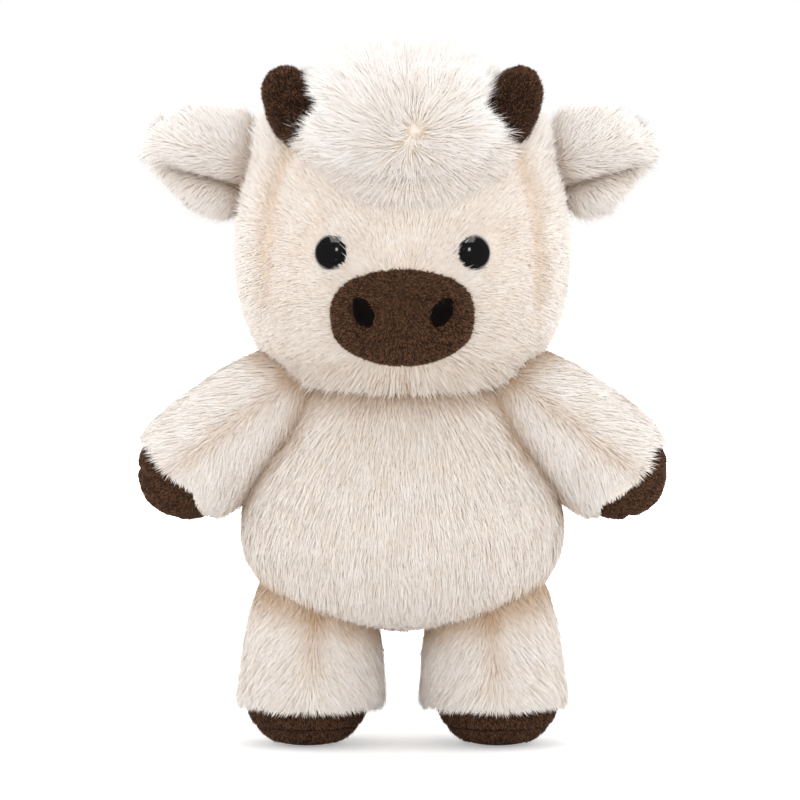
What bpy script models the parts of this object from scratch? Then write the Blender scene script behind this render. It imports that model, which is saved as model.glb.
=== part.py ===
"""Plush cow that stands on two soft feet.

Sewn pile covers over stuffing, with a turning head, arms that lift, legs that
fold forward to sit, ears that swing and a tail. The cow faces -Y, its left
side is +X, and its origin is on the floor below the middle of its body.
"""

import math

import bmesh
import bpy
from mathutils import Matrix, Vector

# Clearances and cloth
GAP = 0.0003
TURN_CLEARANCE = 0.0007
OVERRUN = 0.003
COVER_WALL = 0.005
SHORT_PILE_WALL = 0.003

# Torso
TORSO_MIDDLE_HEIGHT = 0.1055
TORSO_HALF_HEIGHT = 0.0555
TORSO_HALF_WIDTH = 0.064
TORSO_HALF_DEPTH = 0.050
TORSO_WIDTH_SHARES = (1.28, 1.25, 1.10, 0.97, 0.90, 1.12, 1.20)
TORSO_DEPTH_SHARES = (1.22, 1.20, 1.08, 0.98, 0.90, 1.08, 1.15)
TORSO_LEAN_SHARES = (0.00, -0.03, -0.06, -0.04, 0.00, 0.02, 0.02)
TORSO_TOP_HEIGHT = TORSO_MIDDLE_HEIGHT + TORSO_HALF_HEIGHT
NECK_RADIUS = 0.012
NECK_RISE = 0.016

# Head, sunk into the top of the torso
HEAD_SINK = 0.0145
HEAD_HALF_HEIGHT = 0.066
HEAD_HALF_WIDTH = 0.065
HEAD_HALF_DEPTH = 0.056
HEAD_WIDTH_SHARES = (1.36, 1.32, 1.11, 1.00, 1.03, 1.15, 1.20)
HEAD_DEPTH_SHARES = (1.50, 1.45, 1.16, 1.02, 1.00, 1.12, 1.18)
HEAD_LEAN_SHARES = (0.00, 0.00, -0.07, -0.05, -0.02, 0.00, 0.00)
HEAD_MIDDLE_HEIGHT = TORSO_TOP_HEIGHT + HEAD_HALF_HEIGHT - HEAD_SINK
CROWN_HEIGHT = HEAD_MIDDLE_HEIGHT + HEAD_HALF_HEIGHT
CHIN_HEIGHT = HEAD_MIDDLE_HEIGHT - HEAD_HALF_HEIGHT

# Long pile on the crown, proud of it and inset from the head's sides and back
FORELOCK_PROUD = 0.0095
FORELOCK_FORWARD = 0.011
FORELOCK_HALF_HEIGHT = 0.0320
FORELOCK_SIDE_INSET = 0.024
FORELOCK_BACK_INSET = 0.009
FORELOCK_WIDTH_SHARES = (1.10, 1.05, 1.02, 1.00, 1.02, 1.08, 1.12)
FORELOCK_MIDDLE_HEIGHT = CROWN_HEIGHT + FORELOCK_PROUD - FORELOCK_HALF_HEIGHT
FORELOCK_HALF_WIDTH = HEAD_HALF_WIDTH - FORELOCK_SIDE_INSET
FORELOCK_HALF_DEPTH = HEAD_HALF_DEPTH - FORELOCK_BACK_INSET

# Nose pad and nostrils
NOSE_ABOVE_CHIN = 0.0343
NOSE_HEIGHT = CHIN_HEIGHT + NOSE_ABOVE_CHIN
NOSE_HALF_HEIGHT = 0.0202
NOSE_HALF_WIDTH = 0.0281
NOSE_HALF_DEPTH = 0.014
NOSE_SINK = 0.0055
NOSTRIL_SPREAD = 0.0157
NOSTRIL_RISE = 0.0012
NOSTRIL_HEIGHT = NOSE_HEIGHT + NOSTRIL_RISE
NOSTRIL_HALF_LENGTH = 0.0064
NOSTRIL_HALF_WIDTH = 0.0048
NOSTRIL_HALF_DEPTH = 0.0016
NOSTRIL_TILT_DEG = 24

# Eyes
EYE_SPREAD = 0.0284
EYE_DROP = 0.0071
EYE_HEIGHT = HEAD_MIDDLE_HEIGHT - EYE_DROP
EYE_RADIUS = 0.0075
EYE_DOME = 0.0055
EYE_RIM = 0.0006
EYE_SEAT = 0.0012
SHANK_RADIUS = 0.0022
SHANK_LENGTH = 0.0125
WASHER_RADIUS = 0.0068
WASHER_THICKNESS = 0.0020
WASHER_SEAT = 0.0002
WASHER_DEPTH = COVER_WALL + WASHER_SEAT

# Horns
HORN_SIDE_INSET = 0.0232
HORN_BELOW_CROWN = 0.0176
HORN_SPREAD = HEAD_HALF_WIDTH - HORN_SIDE_INSET
HORN_HEIGHT = CROWN_HEIGHT - HORN_BELOW_CROWN
HORN_FORWARD = 0.027
HORN_SPLAY_DEG = 30
HORN_HALF_LENGTH = 0.0205
HORN_HALF_WIDTH = 0.0125
HORN_HALF_DEPTH = 0.0085
HORN_WIDTH_SHARES = (1.10, 1.08, 1.04, 1.00, 0.98, 1.05, 1.10)

# Ears, sunk into the sides of the head
EAR_SINK = 0.006
EAR_ABOVE_MIDDLE = 0.028
EAR_BACK = 0.002
EAR_RISE_DEG = 13
EAR_HALF_LENGTH = 0.0225
EAR_SPREAD = HEAD_HALF_WIDTH + EAR_HALF_LENGTH - EAR_SINK
EAR_HEIGHT = HEAD_MIDDLE_HEIGHT + EAR_ABOVE_MIDDLE
EAR_HALF_WIDTH = 0.0180
EAR_HALF_DEPTH = 0.0080
EAR_WIDTH_SHARES = (0.72, 0.84, 1.06, 1.04, 1.03, 1.16, 1.20)
EAR_DEPTH_SHARES = (0.95, 0.95, 0.95, 1.00, 1.00, 1.05, 1.10)
EAR_LINING_MARGIN = 0.0045
EAR_LINING_HALF_DEPTH = 0.0040
EAR_LINING_PROUD = 0.0015
EAR_ROOT_RADIUS = 0.0064
EAR_ROOT_HALF_HEIGHT = 0.0115
EAR_ROOT_INSET = 0.0042

# Arms, hung from the sides of the torso's top
ARM_OUT = 0.0052
ARM_BELOW_TOP = 0.0321
ARM_SPREAD = TORSO_HALF_WIDTH + ARM_OUT
ARM_HEIGHT = TORSO_TOP_HEIGHT - ARM_BELOW_TOP
ARM_FORWARD = 0.004
ARM_DROOP_DEG = 37
ARM_HALF_LENGTH = 0.045
ARM_HALF_WIDTH = 0.022
ARM_HALF_DEPTH = 0.021
ARM_WIDTH_SHARES = (1.20, 1.20, 1.04, 1.00, 1.12, 1.30, 1.34)
ARM_HOOF_LENGTH = 0.019
SHOULDER_INSET = 0.014
SHOULDER_BELOW_TOP = 0.004
SHOULDER_SPREAD = TORSO_HALF_WIDTH - SHOULDER_INSET
SHOULDER_HEIGHT = TORSO_TOP_HEIGHT - SHOULDER_BELOW_TOP
ARM_LIFT_DEG = 40
ARM_LIFT_STEPS = 4

# Legs, parted so that they stand clear of each other
LEG_PARTING = 0.010
LEG_FORWARD = 0.002
LEG_MIDDLE_HEIGHT = 0.036
LEG_SPLAY_DEG = 3
LEG_HALF_LENGTH = 0.056
LEG_HALF_WIDTH = 0.027
LEG_HALF_DEPTH = 0.026
LEG_WIDTH_SHARES = (1.10, 1.10, 1.11, 0.963, 0.924, 1.04, 1.00)
LEG_HEM_HEIGHT = 0.0195
LEG_SPREAD = LEG_HALF_WIDTH + LEG_PARTING
HIP_FORWARD = 0.026
HIP_DROP = 0.0395
HIP_HEIGHT = TORSO_MIDDLE_HEIGHT - HIP_DROP

# Feet
FOOT_OUT = 0.0024
HOOF_TUCK = 0.0023
HOOF_TOP_TUCK = 0.0015
FOOT_SPREAD = LEG_SPREAD + FOOT_OUT
HOOF_RADIUS = LEG_HALF_WIDTH - HOOF_TUCK
HOOF_TOP_RADIUS = HOOF_RADIUS - HOOF_TOP_TUCK
SOLE_SEAM_HEIGHT = 0.0082
SOLE_EDGE_WIDTH = 0.0122
SOLE_FLAT_RADIUS = HOOF_RADIUS - SOLE_EDGE_WIDTH
SOLE_THICKNESS = 0.0030
PELLET_DEPTH = 0.0085

# Tail
TAIL_DROP = 0.0075
TAIL_HEIGHT = TORSO_MIDDLE_HEIGHT - TAIL_DROP
TAIL_STAND_OFF = 0.0021
TAIL_LEAN_DEG = 14
TAIL_LENGTH = 0.034
TAIL_RADIUS = 0.0050
TAIL_ROOT_RADIUS = 0.0046
TUFT_HALF_LENGTH = 0.0135
TUFT_RADIUS = 0.0085

ROUND_SHARES = (1.0, 1.0, 1.0, 1.0, 1.0, 1.0, 1.0)
STRAIGHT_SHARES = (0.0, 0.0, 0.0, 0.0, 0.0, 0.0, 0.0)

# Facets: how many sides around and along each kind of form
BIG_FACETS = (28, 17)
LIMB_FACETS = (18, 12)
SMALL_FACETS = (12, 8)
INNER_FACETS = (12, 8)
ROUND_STEPS = 22
FINE_STEPS = 14
DOME_FACETS = 6
SOLE_EDGE_FACETS = 5

CREAM = (0.80, 0.72, 0.62, 1.0)
CREAM_SHADE = (0.72, 0.62, 0.50, 1.0)
BROWN = (0.045, 0.020, 0.010, 1.0)
DARK_BROWN = (0.010, 0.004, 0.002, 1.0)
BLACK = (0.006, 0.005, 0.005, 1.0)
FIBRE = (0.88, 0.88, 0.86, 1.0)
NATURAL_PLASTIC = (0.75, 0.74, 0.70, 1.0)


def share_at(shares, where):
    """Reads a table of evenly spaced shares at a place from 0 to 1, on a smooth curve."""
    last = len(shares) - 1
    spot = min(max(where, 0), 1) * last
    low = min(int(spot), last - 1)
    part = spot - low
    before = shares[max(low - 1, 0)]
    left, right = shares[low], shares[low + 1]
    after = shares[min(low + 2, last)]
    bend = 2 * before - 5 * left + 4 * right - after + part * (3 * (left - right) + after - before)
    return left + part / 2 * (right - before + part * bend)


class Sack:
    """A stuffed form: a ball stretched from its root to its tip, which swells and tapers."""

    def __init__(self, place, half_length, half_width, half_depth,
                 width_shares=ROUND_SHARES, depth_shares=None, lean_shares=STRAIGHT_SHARES):
        self.place = place
        self.half_length = half_length
        self.half_width = half_width
        self.half_depth = half_depth
        self.width_shares = width_shares
        self.depth_shares = depth_shares or width_shares
        self.lean_shares = lean_shares

    def point(self, unit, inset=0):
        """Gives the local point below the skin for a direction on the unit ball."""
        where = math.acos(max(-1, min(1, -unit.z))) / math.pi
        width = self.half_width * share_at(self.width_shares, where) - inset
        depth = self.half_depth * share_at(self.depth_shares, where) - inset
        lean = self.half_depth * share_at(self.lean_shares, where)
        return Vector((unit.x * width, unit.y * depth + lean, unit.z * (self.half_length - inset)))

    def moved(self, move):
        """Gives the same form after a movement of the world."""
        return Sack(move @ self.place, self.half_length, self.half_width, self.half_depth,
                    self.width_shares, self.depth_shares, self.lean_shares)

    def front(self, x, z):
        """Gives the world point and outward normal of the front skin at a width and height."""
        high = (z - self.place.translation.z) / self.half_length
        where = math.acos(max(-1, min(1, -high))) / math.pi
        wide = x / (self.half_width * share_at(self.width_shares, where))
        deep = math.sqrt(max(0, 1 - high * high - wide * wide))
        here = Vector((wide, -deep, high))
        step = 1 / 64
        across = Vector((step, 0, 0))
        upward = Vector((0, 0, step))
        side = self.point((here + across).normalized()) - self.point((here - across).normalized())
        rise = self.point((here + upward).normalized()) - self.point((here - upward).normalized())
        return self.place @ self.point(here), side.cross(rise).normalized()


def new_material(name, colour, roughness, metallic=0.0):
    """Makes a plain material for one kind of cloth or plastic."""
    material = bpy.data.materials.new(name)
    material.use_nodes = True
    surface = material.node_tree.nodes["Principled BSDF"]
    surface.inputs["Base Color"].default_value = colour
    surface.inputs["Roughness"].default_value = roughness
    surface.inputs["Metallic"].default_value = metallic
    material.diffuse_color = colour
    return material


def new_empty(name, location, rotation=(0, 0, 0)):
    """Makes an empty that carries the pieces of one body on its joint's axis."""
    empty = bpy.data.objects.new(name, None)
    empty.location = location
    empty.rotation_euler = rotation
    empty.empty_display_size = EYE_RADIUS
    BODY_COLLECTION.objects.link(empty)
    return empty


def new_object(name, bm, place, material=None, parent=None, cutter=False):
    """Turns a bmesh into an object at a world placement, under its body's empty."""
    bmesh.ops.recalc_face_normals(bm, faces=bm.faces[:])
    mesh = bpy.data.meshes.new(name)
    bm.to_mesh(mesh)
    bm.free()
    mesh.shade_smooth()
    made = bpy.data.objects.new(name, mesh)
    if cutter:
        CUTTER_COLLECTION.objects.link(made)
        made.hide_render = True
        made.display_type = "WIRE"
        made.matrix_world = place
        return made
    BODY_COLLECTION.objects.link(made)
    mesh.materials.append(material)
    if parent:
        made.parent = parent
        made.matrix_basis = parent.matrix_basis.inverted() @ place
    else:
        made.matrix_basis = place
    return made


def cut(target, *cutters):
    """Takes each cutter's volume out of an object."""
    for cutter in cutters:
        boolean = target.modifiers.new("Cut " + cutter.name, "BOOLEAN")
        boolean.operation = "DIFFERENCE"
        boolean.solver = "EXACT"
        boolean.object = cutter


def join(target, other):
    """Joins another solid, kept as a hidden tool, onto an object."""
    boolean = target.modifiers.new("Join " + other.name, "BOOLEAN")
    boolean.operation = "UNION"
    boolean.solver = "EXACT"
    boolean.object = other


def sack_bmesh(sack, inset, facets):
    """Builds the skin of a stuffed form as a ball that is pulled into shape."""
    bm = bmesh.new()
    bmesh.ops.create_uvsphere(bm, u_segments=facets[0], v_segments=facets[1], radius=1)
    for vert in bm.verts:
        vert.co = sack.point(vert.co.normalized(), inset)
    # the same split of each facet on every skin keeps the gap between nested skins even
    bmesh.ops.triangulate(bm, faces=bm.faces[:], quad_method="FIXED")
    return bm


def trim(bm, point, normal):
    """Cuts a closed skin with a plane, drops what lies past it and closes the cut."""
    parts = bm.verts[:] + bm.edges[:] + bm.faces[:]
    found = bmesh.ops.bisect_plane(bm, geom=parts, plane_co=point, plane_no=normal, clear_outer=True)
    edges = [item for item in found["geom_cut"] if isinstance(item, bmesh.types.BMEdge)]
    bmesh.ops.edgeloop_fill(bm, edges=edges)


def new_sack(name, sack, facets, material=None, parent=None, inset=0, cutter=False, trims=()):
    """Makes a stuffed form, trimmed by planes in its own frame."""
    bm = sack_bmesh(sack, inset, facets)
    for point, normal in trims:
        trim(bm, point, normal)
    return new_object(name, bm, sack.place, material, parent, cutter)


def new_rod(name, place, radius, low, high, steps=FINE_STEPS, cutter=True, material=None, parent=None):
    """Makes a round rod along its own Z, from one height to another."""
    bm = bmesh.new()
    middle = Matrix.Translation((0, 0, (low + high) / 2))
    bmesh.ops.create_cone(bm, cap_ends=True, segments=steps, radius1=radius, radius2=radius,
                          depth=high - low, matrix=middle)
    return new_object(name, bm, place, material, parent, cutter)


def new_turned(name, place, profile, steps, material, parent):
    """Turns a profile of (radius, height) points, listed top to bottom, about its own Z."""
    mesh = bpy.data.meshes.new(name)
    points = [(radius, 0, height) for radius, height in profile]
    edges = [(index, index + 1) for index in range(len(points) - 1)]
    if profile[0][0] > 0:
        edges.append((len(points) - 1, 0))
    mesh.from_pydata(points, edges, [])
    mesh.materials.append(material)
    made = bpy.data.objects.new(name, mesh)
    BODY_COLLECTION.objects.link(made)
    made.parent = parent
    made.matrix_basis = parent.matrix_basis.inverted() @ place
    screw = made.modifiers.new("Turn", "SCREW")
    screw.axis = "Z"
    screw.steps = steps
    screw.render_steps = steps
    screw.use_merge_vertices = True
    screw.merge_threshold = GAP / 10
    screw.use_smooth_shade = True
    return made


def arc(centre_radius, centre_height, reach, rise, start_deg, end_deg, count):
    """Lists points on an elliptical arc of a turned profile."""
    points = []
    for index in range(count + 1):
        angle = math.radians(start_deg + (end_deg - start_deg) * index / count)
        points.append((centre_radius + reach * math.cos(angle), centre_height + rise * math.sin(angle)))
    return points


def frame_along(location, direction, across):
    """Gives a placement whose Z runs along a direction and whose X follows another."""
    z = Vector(direction).normalized()
    y = z.cross(Vector(across)).normalized()
    x = y.cross(z)
    place = Matrix((x, y, z)).transposed().to_4x4()
    place.translation = location
    return place


def reach(made, side):
    """Gives how far an object's mesh reaches forward (-1) or back (+1), in the part's frame."""
    place = made.matrix_basis if made.parent is None else made.parent.matrix_basis @ made.matrix_basis
    return side * max(side * (place @ vert.co).y for vert in made.data.vertices)


def centre_on_origin(front_piece, back_piece):
    """Moves the whole cow so that the origin is below the middle of its length."""
    shift = -(reach(front_piece, -1) + reach(back_piece, 1)) / 2
    for made in list(BODY_COLLECTION.objects) + list(CUTTER_COLLECTION.objects):
        if made.parent is None:
            made.matrix_basis = Matrix.Translation((0, shift, 0)) @ made.matrix_basis


def build_torso(mats, root, torso, head_envelope):
    """Makes the body's cover and its stuffing, with a dish on top that the head sits in."""
    cover = new_sack("torso_cover", torso, BIG_FACETS, mats["cream"], root)
    hollow = new_sack("torso_hollow", torso, INNER_FACETS, inset=COVER_WALL, cutter=True)
    neck_foot = TORSO_MIDDLE_HEIGHT
    neck_top = HEAD_MIDDLE_HEIGHT - HEAD_HALF_HEIGHT + NECK_RISE
    neck_hole = new_rod("neck_hole", Matrix(), NECK_RADIUS + TURN_CLEARANCE, neck_foot, neck_top + OVERRUN, cutter=True)
    cut(cover, head_envelope, hollow, neck_hole)
    stuffing = new_sack("torso_stuffing", torso, INNER_FACETS, mats["fibre"], root, inset=COVER_WALL + GAP)
    neck = new_rod("neck", Matrix(), NECK_RADIUS, neck_foot, neck_top, cutter=True)
    # the stuffing keeps below the dish by a cover's wall, and only its neck goes through
    dish = new_sack("torso_dish_inside", turning_head_form(), BIG_FACETS, inset=-COVER_WALL - GAP, cutter=True)
    cut(stuffing, dish)
    join(stuffing, neck)
    return cover


def head_form():
    """Gives the head's stuffed form."""
    return Sack(Matrix.Translation((0, 0, HEAD_MIDDLE_HEIGHT)), HEAD_HALF_HEIGHT, HEAD_HALF_WIDTH,
                HEAD_HALF_DEPTH, HEAD_WIDTH_SHARES, HEAD_DEPTH_SHARES, HEAD_LEAN_SHARES)


def turning_head_form():
    """Gives the round form that holds the head in every position as it turns."""
    return Sack(Matrix.Translation((0, 0, HEAD_MIDDLE_HEIGHT)), HEAD_HALF_HEIGHT, HEAD_HALF_WIDTH,
                HEAD_HALF_WIDTH, HEAD_WIDTH_SHARES)


def build_head(mats, neck, head):
    """Makes the head's cover and stuffing, and gives back the space that the head fills."""
    cover = new_sack("head_cover", head, BIG_FACETS, mats["cream"], neck)
    hollow = new_sack("head_hollow", head, INNER_FACETS, inset=COVER_WALL, cutter=True)
    low = TORSO_MIDDLE_HEIGHT
    socket_top = HEAD_MIDDLE_HEIGHT - HEAD_HALF_HEIGHT + NECK_RISE + 2 * GAP
    socket = new_rod("neck_socket", Matrix(), NECK_RADIUS + TURN_CLEARANCE, low, socket_top, cutter=True)
    stuffing = new_sack("head_stuffing", head, INNER_FACETS, mats["fibre"], neck, inset=COVER_WALL + GAP)
    cut(cover, hollow, socket)
    cut(stuffing, socket)
    space = new_sack("head_space", head, BIG_FACETS, inset=-GAP, cutter=True)
    return cover, stuffing, space


def build_forelock(mats, neck, head_space, horn_spaces):
    """Makes the mound of long pile on the crown, seated on the head and around the horns."""
    place = Matrix.Translation((0, -FORELOCK_FORWARD, FORELOCK_MIDDLE_HEIGHT))
    mound = Sack(place, FORELOCK_HALF_HEIGHT, FORELOCK_HALF_WIDTH, FORELOCK_HALF_DEPTH,
                 FORELOCK_WIDTH_SHARES)
    made = new_sack("forelock", mound, LIMB_FACETS, mats["cream"], neck)
    cut(made, head_space, *horn_spaces)


def build_nose(mats, neck, head, head_space):
    """Makes the short pile nose pad and the two nostril patches let into it."""
    seat, _ = head.front(0, NOSE_HEIGHT)
    place = Matrix.Translation((0, seat.y + NOSE_SINK, NOSE_HEIGHT))
    pad = Sack(place, NOSE_HALF_HEIGHT, NOSE_HALF_WIDTH, NOSE_HALF_DEPTH)
    made = new_sack("nose_pad", pad, LIMB_FACETS, mats["brown"], neck)
    cut(made, head_space)
    for side, label in ((1, "left"), (-1, "right")):
        point, normal = pad.front(side * NOSTRIL_SPREAD, NOSTRIL_HEIGHT)
        lean = math.radians(NOSTRIL_TILT_DEG) * side
        upward = Vector((math.sin(lean), 0, math.cos(lean)))
        upward = (upward - normal * upward.dot(normal)).normalized()
        patch_place = frame_along(point, upward, normal.cross(upward))
        patch = Sack(patch_place, NOSTRIL_HALF_LENGTH, NOSTRIL_HALF_WIDTH, NOSTRIL_HALF_DEPTH)
        new_sack("nostril_" + label, patch, SMALL_FACETS, mats["dark"], neck)
        recess = new_sack("nostril_recess_" + label, patch, SMALL_FACETS, inset=-GAP, cutter=True)
        cut(made, recess)


def build_eyes(mats, neck, head, cover, stuffing):
    """Makes the two safety eyes with their shanks, and the washers that lock them inside."""
    for side, label in ((1, "left"), (-1, "right")):
        point, normal = head.front(side * EYE_SPREAD, EYE_HEIGHT)
        place = frame_along(point, normal, (0, 0, 1))
        back = GAP - EYE_SEAT
        dome_base = back + EYE_RIM
        profile = arc(0, dome_base, EYE_RADIUS, EYE_DOME, 90, 0, DOME_FACETS)
        profile += [(EYE_RADIUS, back), (SHANK_RADIUS, back), (SHANK_RADIUS, -SHANK_LENGTH), (0, -SHANK_LENGTH)]
        profile[0] = (0, dome_base + EYE_DOME)
        new_turned("eye_" + label, place, profile, FINE_STEPS, mats["black"], neck)
        washer_top = -WASHER_DEPTH
        washer_low = washer_top - WASHER_THICKNESS
        ring = [(WASHER_RADIUS, washer_top), (WASHER_RADIUS, washer_low),
                (SHANK_RADIUS + GAP, washer_low), (SHANK_RADIUS + GAP, washer_top)]
        new_turned("eye_washer_" + label, place, ring, FINE_STEPS, mats["plastic"], neck)
        seat = new_rod("eye_seat_" + label, place, EYE_RADIUS + GAP, -EYE_SEAT, EYE_DOME + OVERRUN)
        shank = new_rod("shank_hole_" + label, place, SHANK_RADIUS + GAP,
                        -SHANK_LENGTH - OVERRUN, OVERRUN, ROUND_STEPS)
        locked = new_rod("washer_space_" + label, place, WASHER_RADIUS + GAP,
                         -SHANK_LENGTH - OVERRUN, washer_top + GAP)
        cut(cover, seat, shank, locked)
        cut(stuffing, locked)


def horn_form(side):
    """Gives a horn's stuffed form, from inside the head to its tip."""
    turn = Matrix.Rotation(math.radians(HORN_SPLAY_DEG) * side, 4, "Y")
    place = Matrix.Translation((side * HORN_SPREAD, -HORN_FORWARD, HORN_HEIGHT)) @ turn
    return Sack(place, HORN_HALF_LENGTH, HORN_HALF_WIDTH, HORN_HALF_DEPTH, HORN_WIDTH_SHARES)


def build_horns(mats, neck, head_space):
    """Makes the two horns, open where they are sewn to the head, with stuffing inside."""
    spaces = []
    for side, label in ((1, "left"), (-1, "right")):
        horn = horn_form(side)
        cover = new_sack("horn_" + label, horn, LIMB_FACETS, mats["brown"], neck)
        hollow = new_sack("horn_hollow_" + label, horn, INNER_FACETS, inset=SHORT_PILE_WALL, cutter=True)
        cut(cover, hollow, head_space)
        stuffing = new_sack("horn_stuffing_" + label, horn, INNER_FACETS, mats["fibre"], neck,
                            inset=SHORT_PILE_WALL + GAP)
        cut(stuffing, head_space)
        spaces.append(new_sack("horn_space_" + label, horn, LIMB_FACETS, inset=-GAP, cutter=True))
    return spaces


def build_ears(mats, head_cover, head_stuffing, head_space, ear_joints):
    """Makes the two ears: a back panel with a rolled root in a pocket, and a lining let into it."""
    for side, label in ((1, "left"), (-1, "right")):
        joint = ear_joints[label]
        turn = Matrix.Rotation(math.radians(90 - EAR_RISE_DEG) * side, 4, "Y")
        place = Matrix.Translation((side * EAR_SPREAD, EAR_BACK, EAR_HEIGHT)) @ turn
        ear = Sack(place, EAR_HALF_LENGTH, EAR_HALF_WIDTH, EAR_HALF_DEPTH, EAR_WIDTH_SHARES, EAR_DEPTH_SHARES)
        sunk = EAR_HALF_DEPTH + EAR_LINING_PROUD - EAR_LINING_HALF_DEPTH
        front = place @ Matrix.Translation((0, -sunk, 0))
        lining = Sack(front, EAR_HALF_LENGTH - EAR_LINING_MARGIN, EAR_HALF_WIDTH - EAR_LINING_MARGIN,
                      EAR_LINING_HALF_DEPTH, EAR_WIDTH_SHARES, EAR_DEPTH_SHARES)
        root = joint.matrix_basis.translation
        bead = Sack(Matrix.Translation(root), EAR_ROOT_HALF_HEIGHT, EAR_ROOT_RADIUS, EAR_ROOT_RADIUS)
        pocket = new_sack("ear_pocket_" + label, bead, SMALL_FACETS, inset=-TURN_CLEARANCE, cutter=True)
        cut(head_cover, pocket)
        cut(head_stuffing, pocket)
        back_panel = new_sack("ear_" + label, ear, LIMB_FACETS, mats["cream"], joint)
        lining_space = new_sack("ear_lining_space_" + label, lining, SMALL_FACETS, inset=-GAP, cutter=True)
        rolled_root = new_sack("ear_rolled_root_" + label, bead, SMALL_FACETS, cutter=True)
        cut(back_panel, lining_space, head_space)
        join(back_panel, rolled_root)
        lining_panel = new_sack("ear_lining_" + label, lining, SMALL_FACETS, mats["shade"], joint)
        root_space = new_sack("ear_root_space_" + label, bead, SMALL_FACETS, inset=-GAP, cutter=True)
        cut(lining_panel, head_space, root_space)


def build_arms(mats, torso, torso_space, head_envelope, shoulders):
    """Makes the two arms: a pile sleeve, a short pile hoof sewn to its end and stuffing."""
    for side, label in ((1, "left"), (-1, "right")):
        joint = shoulders[label]
        turn = Matrix.Rotation(math.radians(90 + ARM_DROOP_DEG) * side, 4, "Y")
        place = Matrix.Translation((side * ARM_SPREAD, -ARM_FORWARD, ARM_HEIGHT)) @ turn
        arm = Sack(place, ARM_HALF_LENGTH, ARM_HALF_WIDTH, ARM_HALF_DEPTH, ARM_WIDTH_SHARES)
        hollow = new_sack("arm_hollow_" + label, arm, INNER_FACETS, inset=COVER_WALL, cutter=True)
        seam = ARM_HALF_LENGTH - ARM_HOOF_LENGTH
        before = (Vector((0, 0, seam - GAP / 2)), Vector((0, 0, 1)))
        after = (Vector((0, 0, seam + GAP / 2)), Vector((0, 0, -1)))
        cover = new_sack("arm_cover_" + label, arm, LIMB_FACETS, mats["cream"], joint, trims=[before])
        hoof = new_sack("arm_hoof_" + label, arm, LIMB_FACETS, mats["brown"], joint, trims=[after])
        stuffing = new_sack("arm_stuffing_" + label, arm, INNER_FACETS, mats["fibre"], joint,
                            inset=COVER_WALL + GAP)
        # the body and the head, turned back about the shoulder as the arm meets them while it lifts
        passing = []
        for step in range(1, ARM_LIFT_STEPS + 1):
            lift = math.radians(ARM_LIFT_DEG) * side * step / ARM_LIFT_STEPS
            pivot = Matrix.Translation(joint.matrix_basis.translation)
            back_turn = pivot @ Matrix.Rotation(lift, 4, "Y") @ pivot.inverted()
            for met, form in (("torso", torso), ("head", turning_head_form())):
                passing.append(new_sack(f"{met}_passing_{label}_{step}", form.moved(back_turn), BIG_FACETS,
                                        inset=-TURN_CLEARANCE, cutter=True))
        cut(cover, hollow, torso_space, head_envelope, *passing)
        cut(hoof, hollow)
        cut(stuffing, torso_space, head_envelope, *passing)


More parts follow.
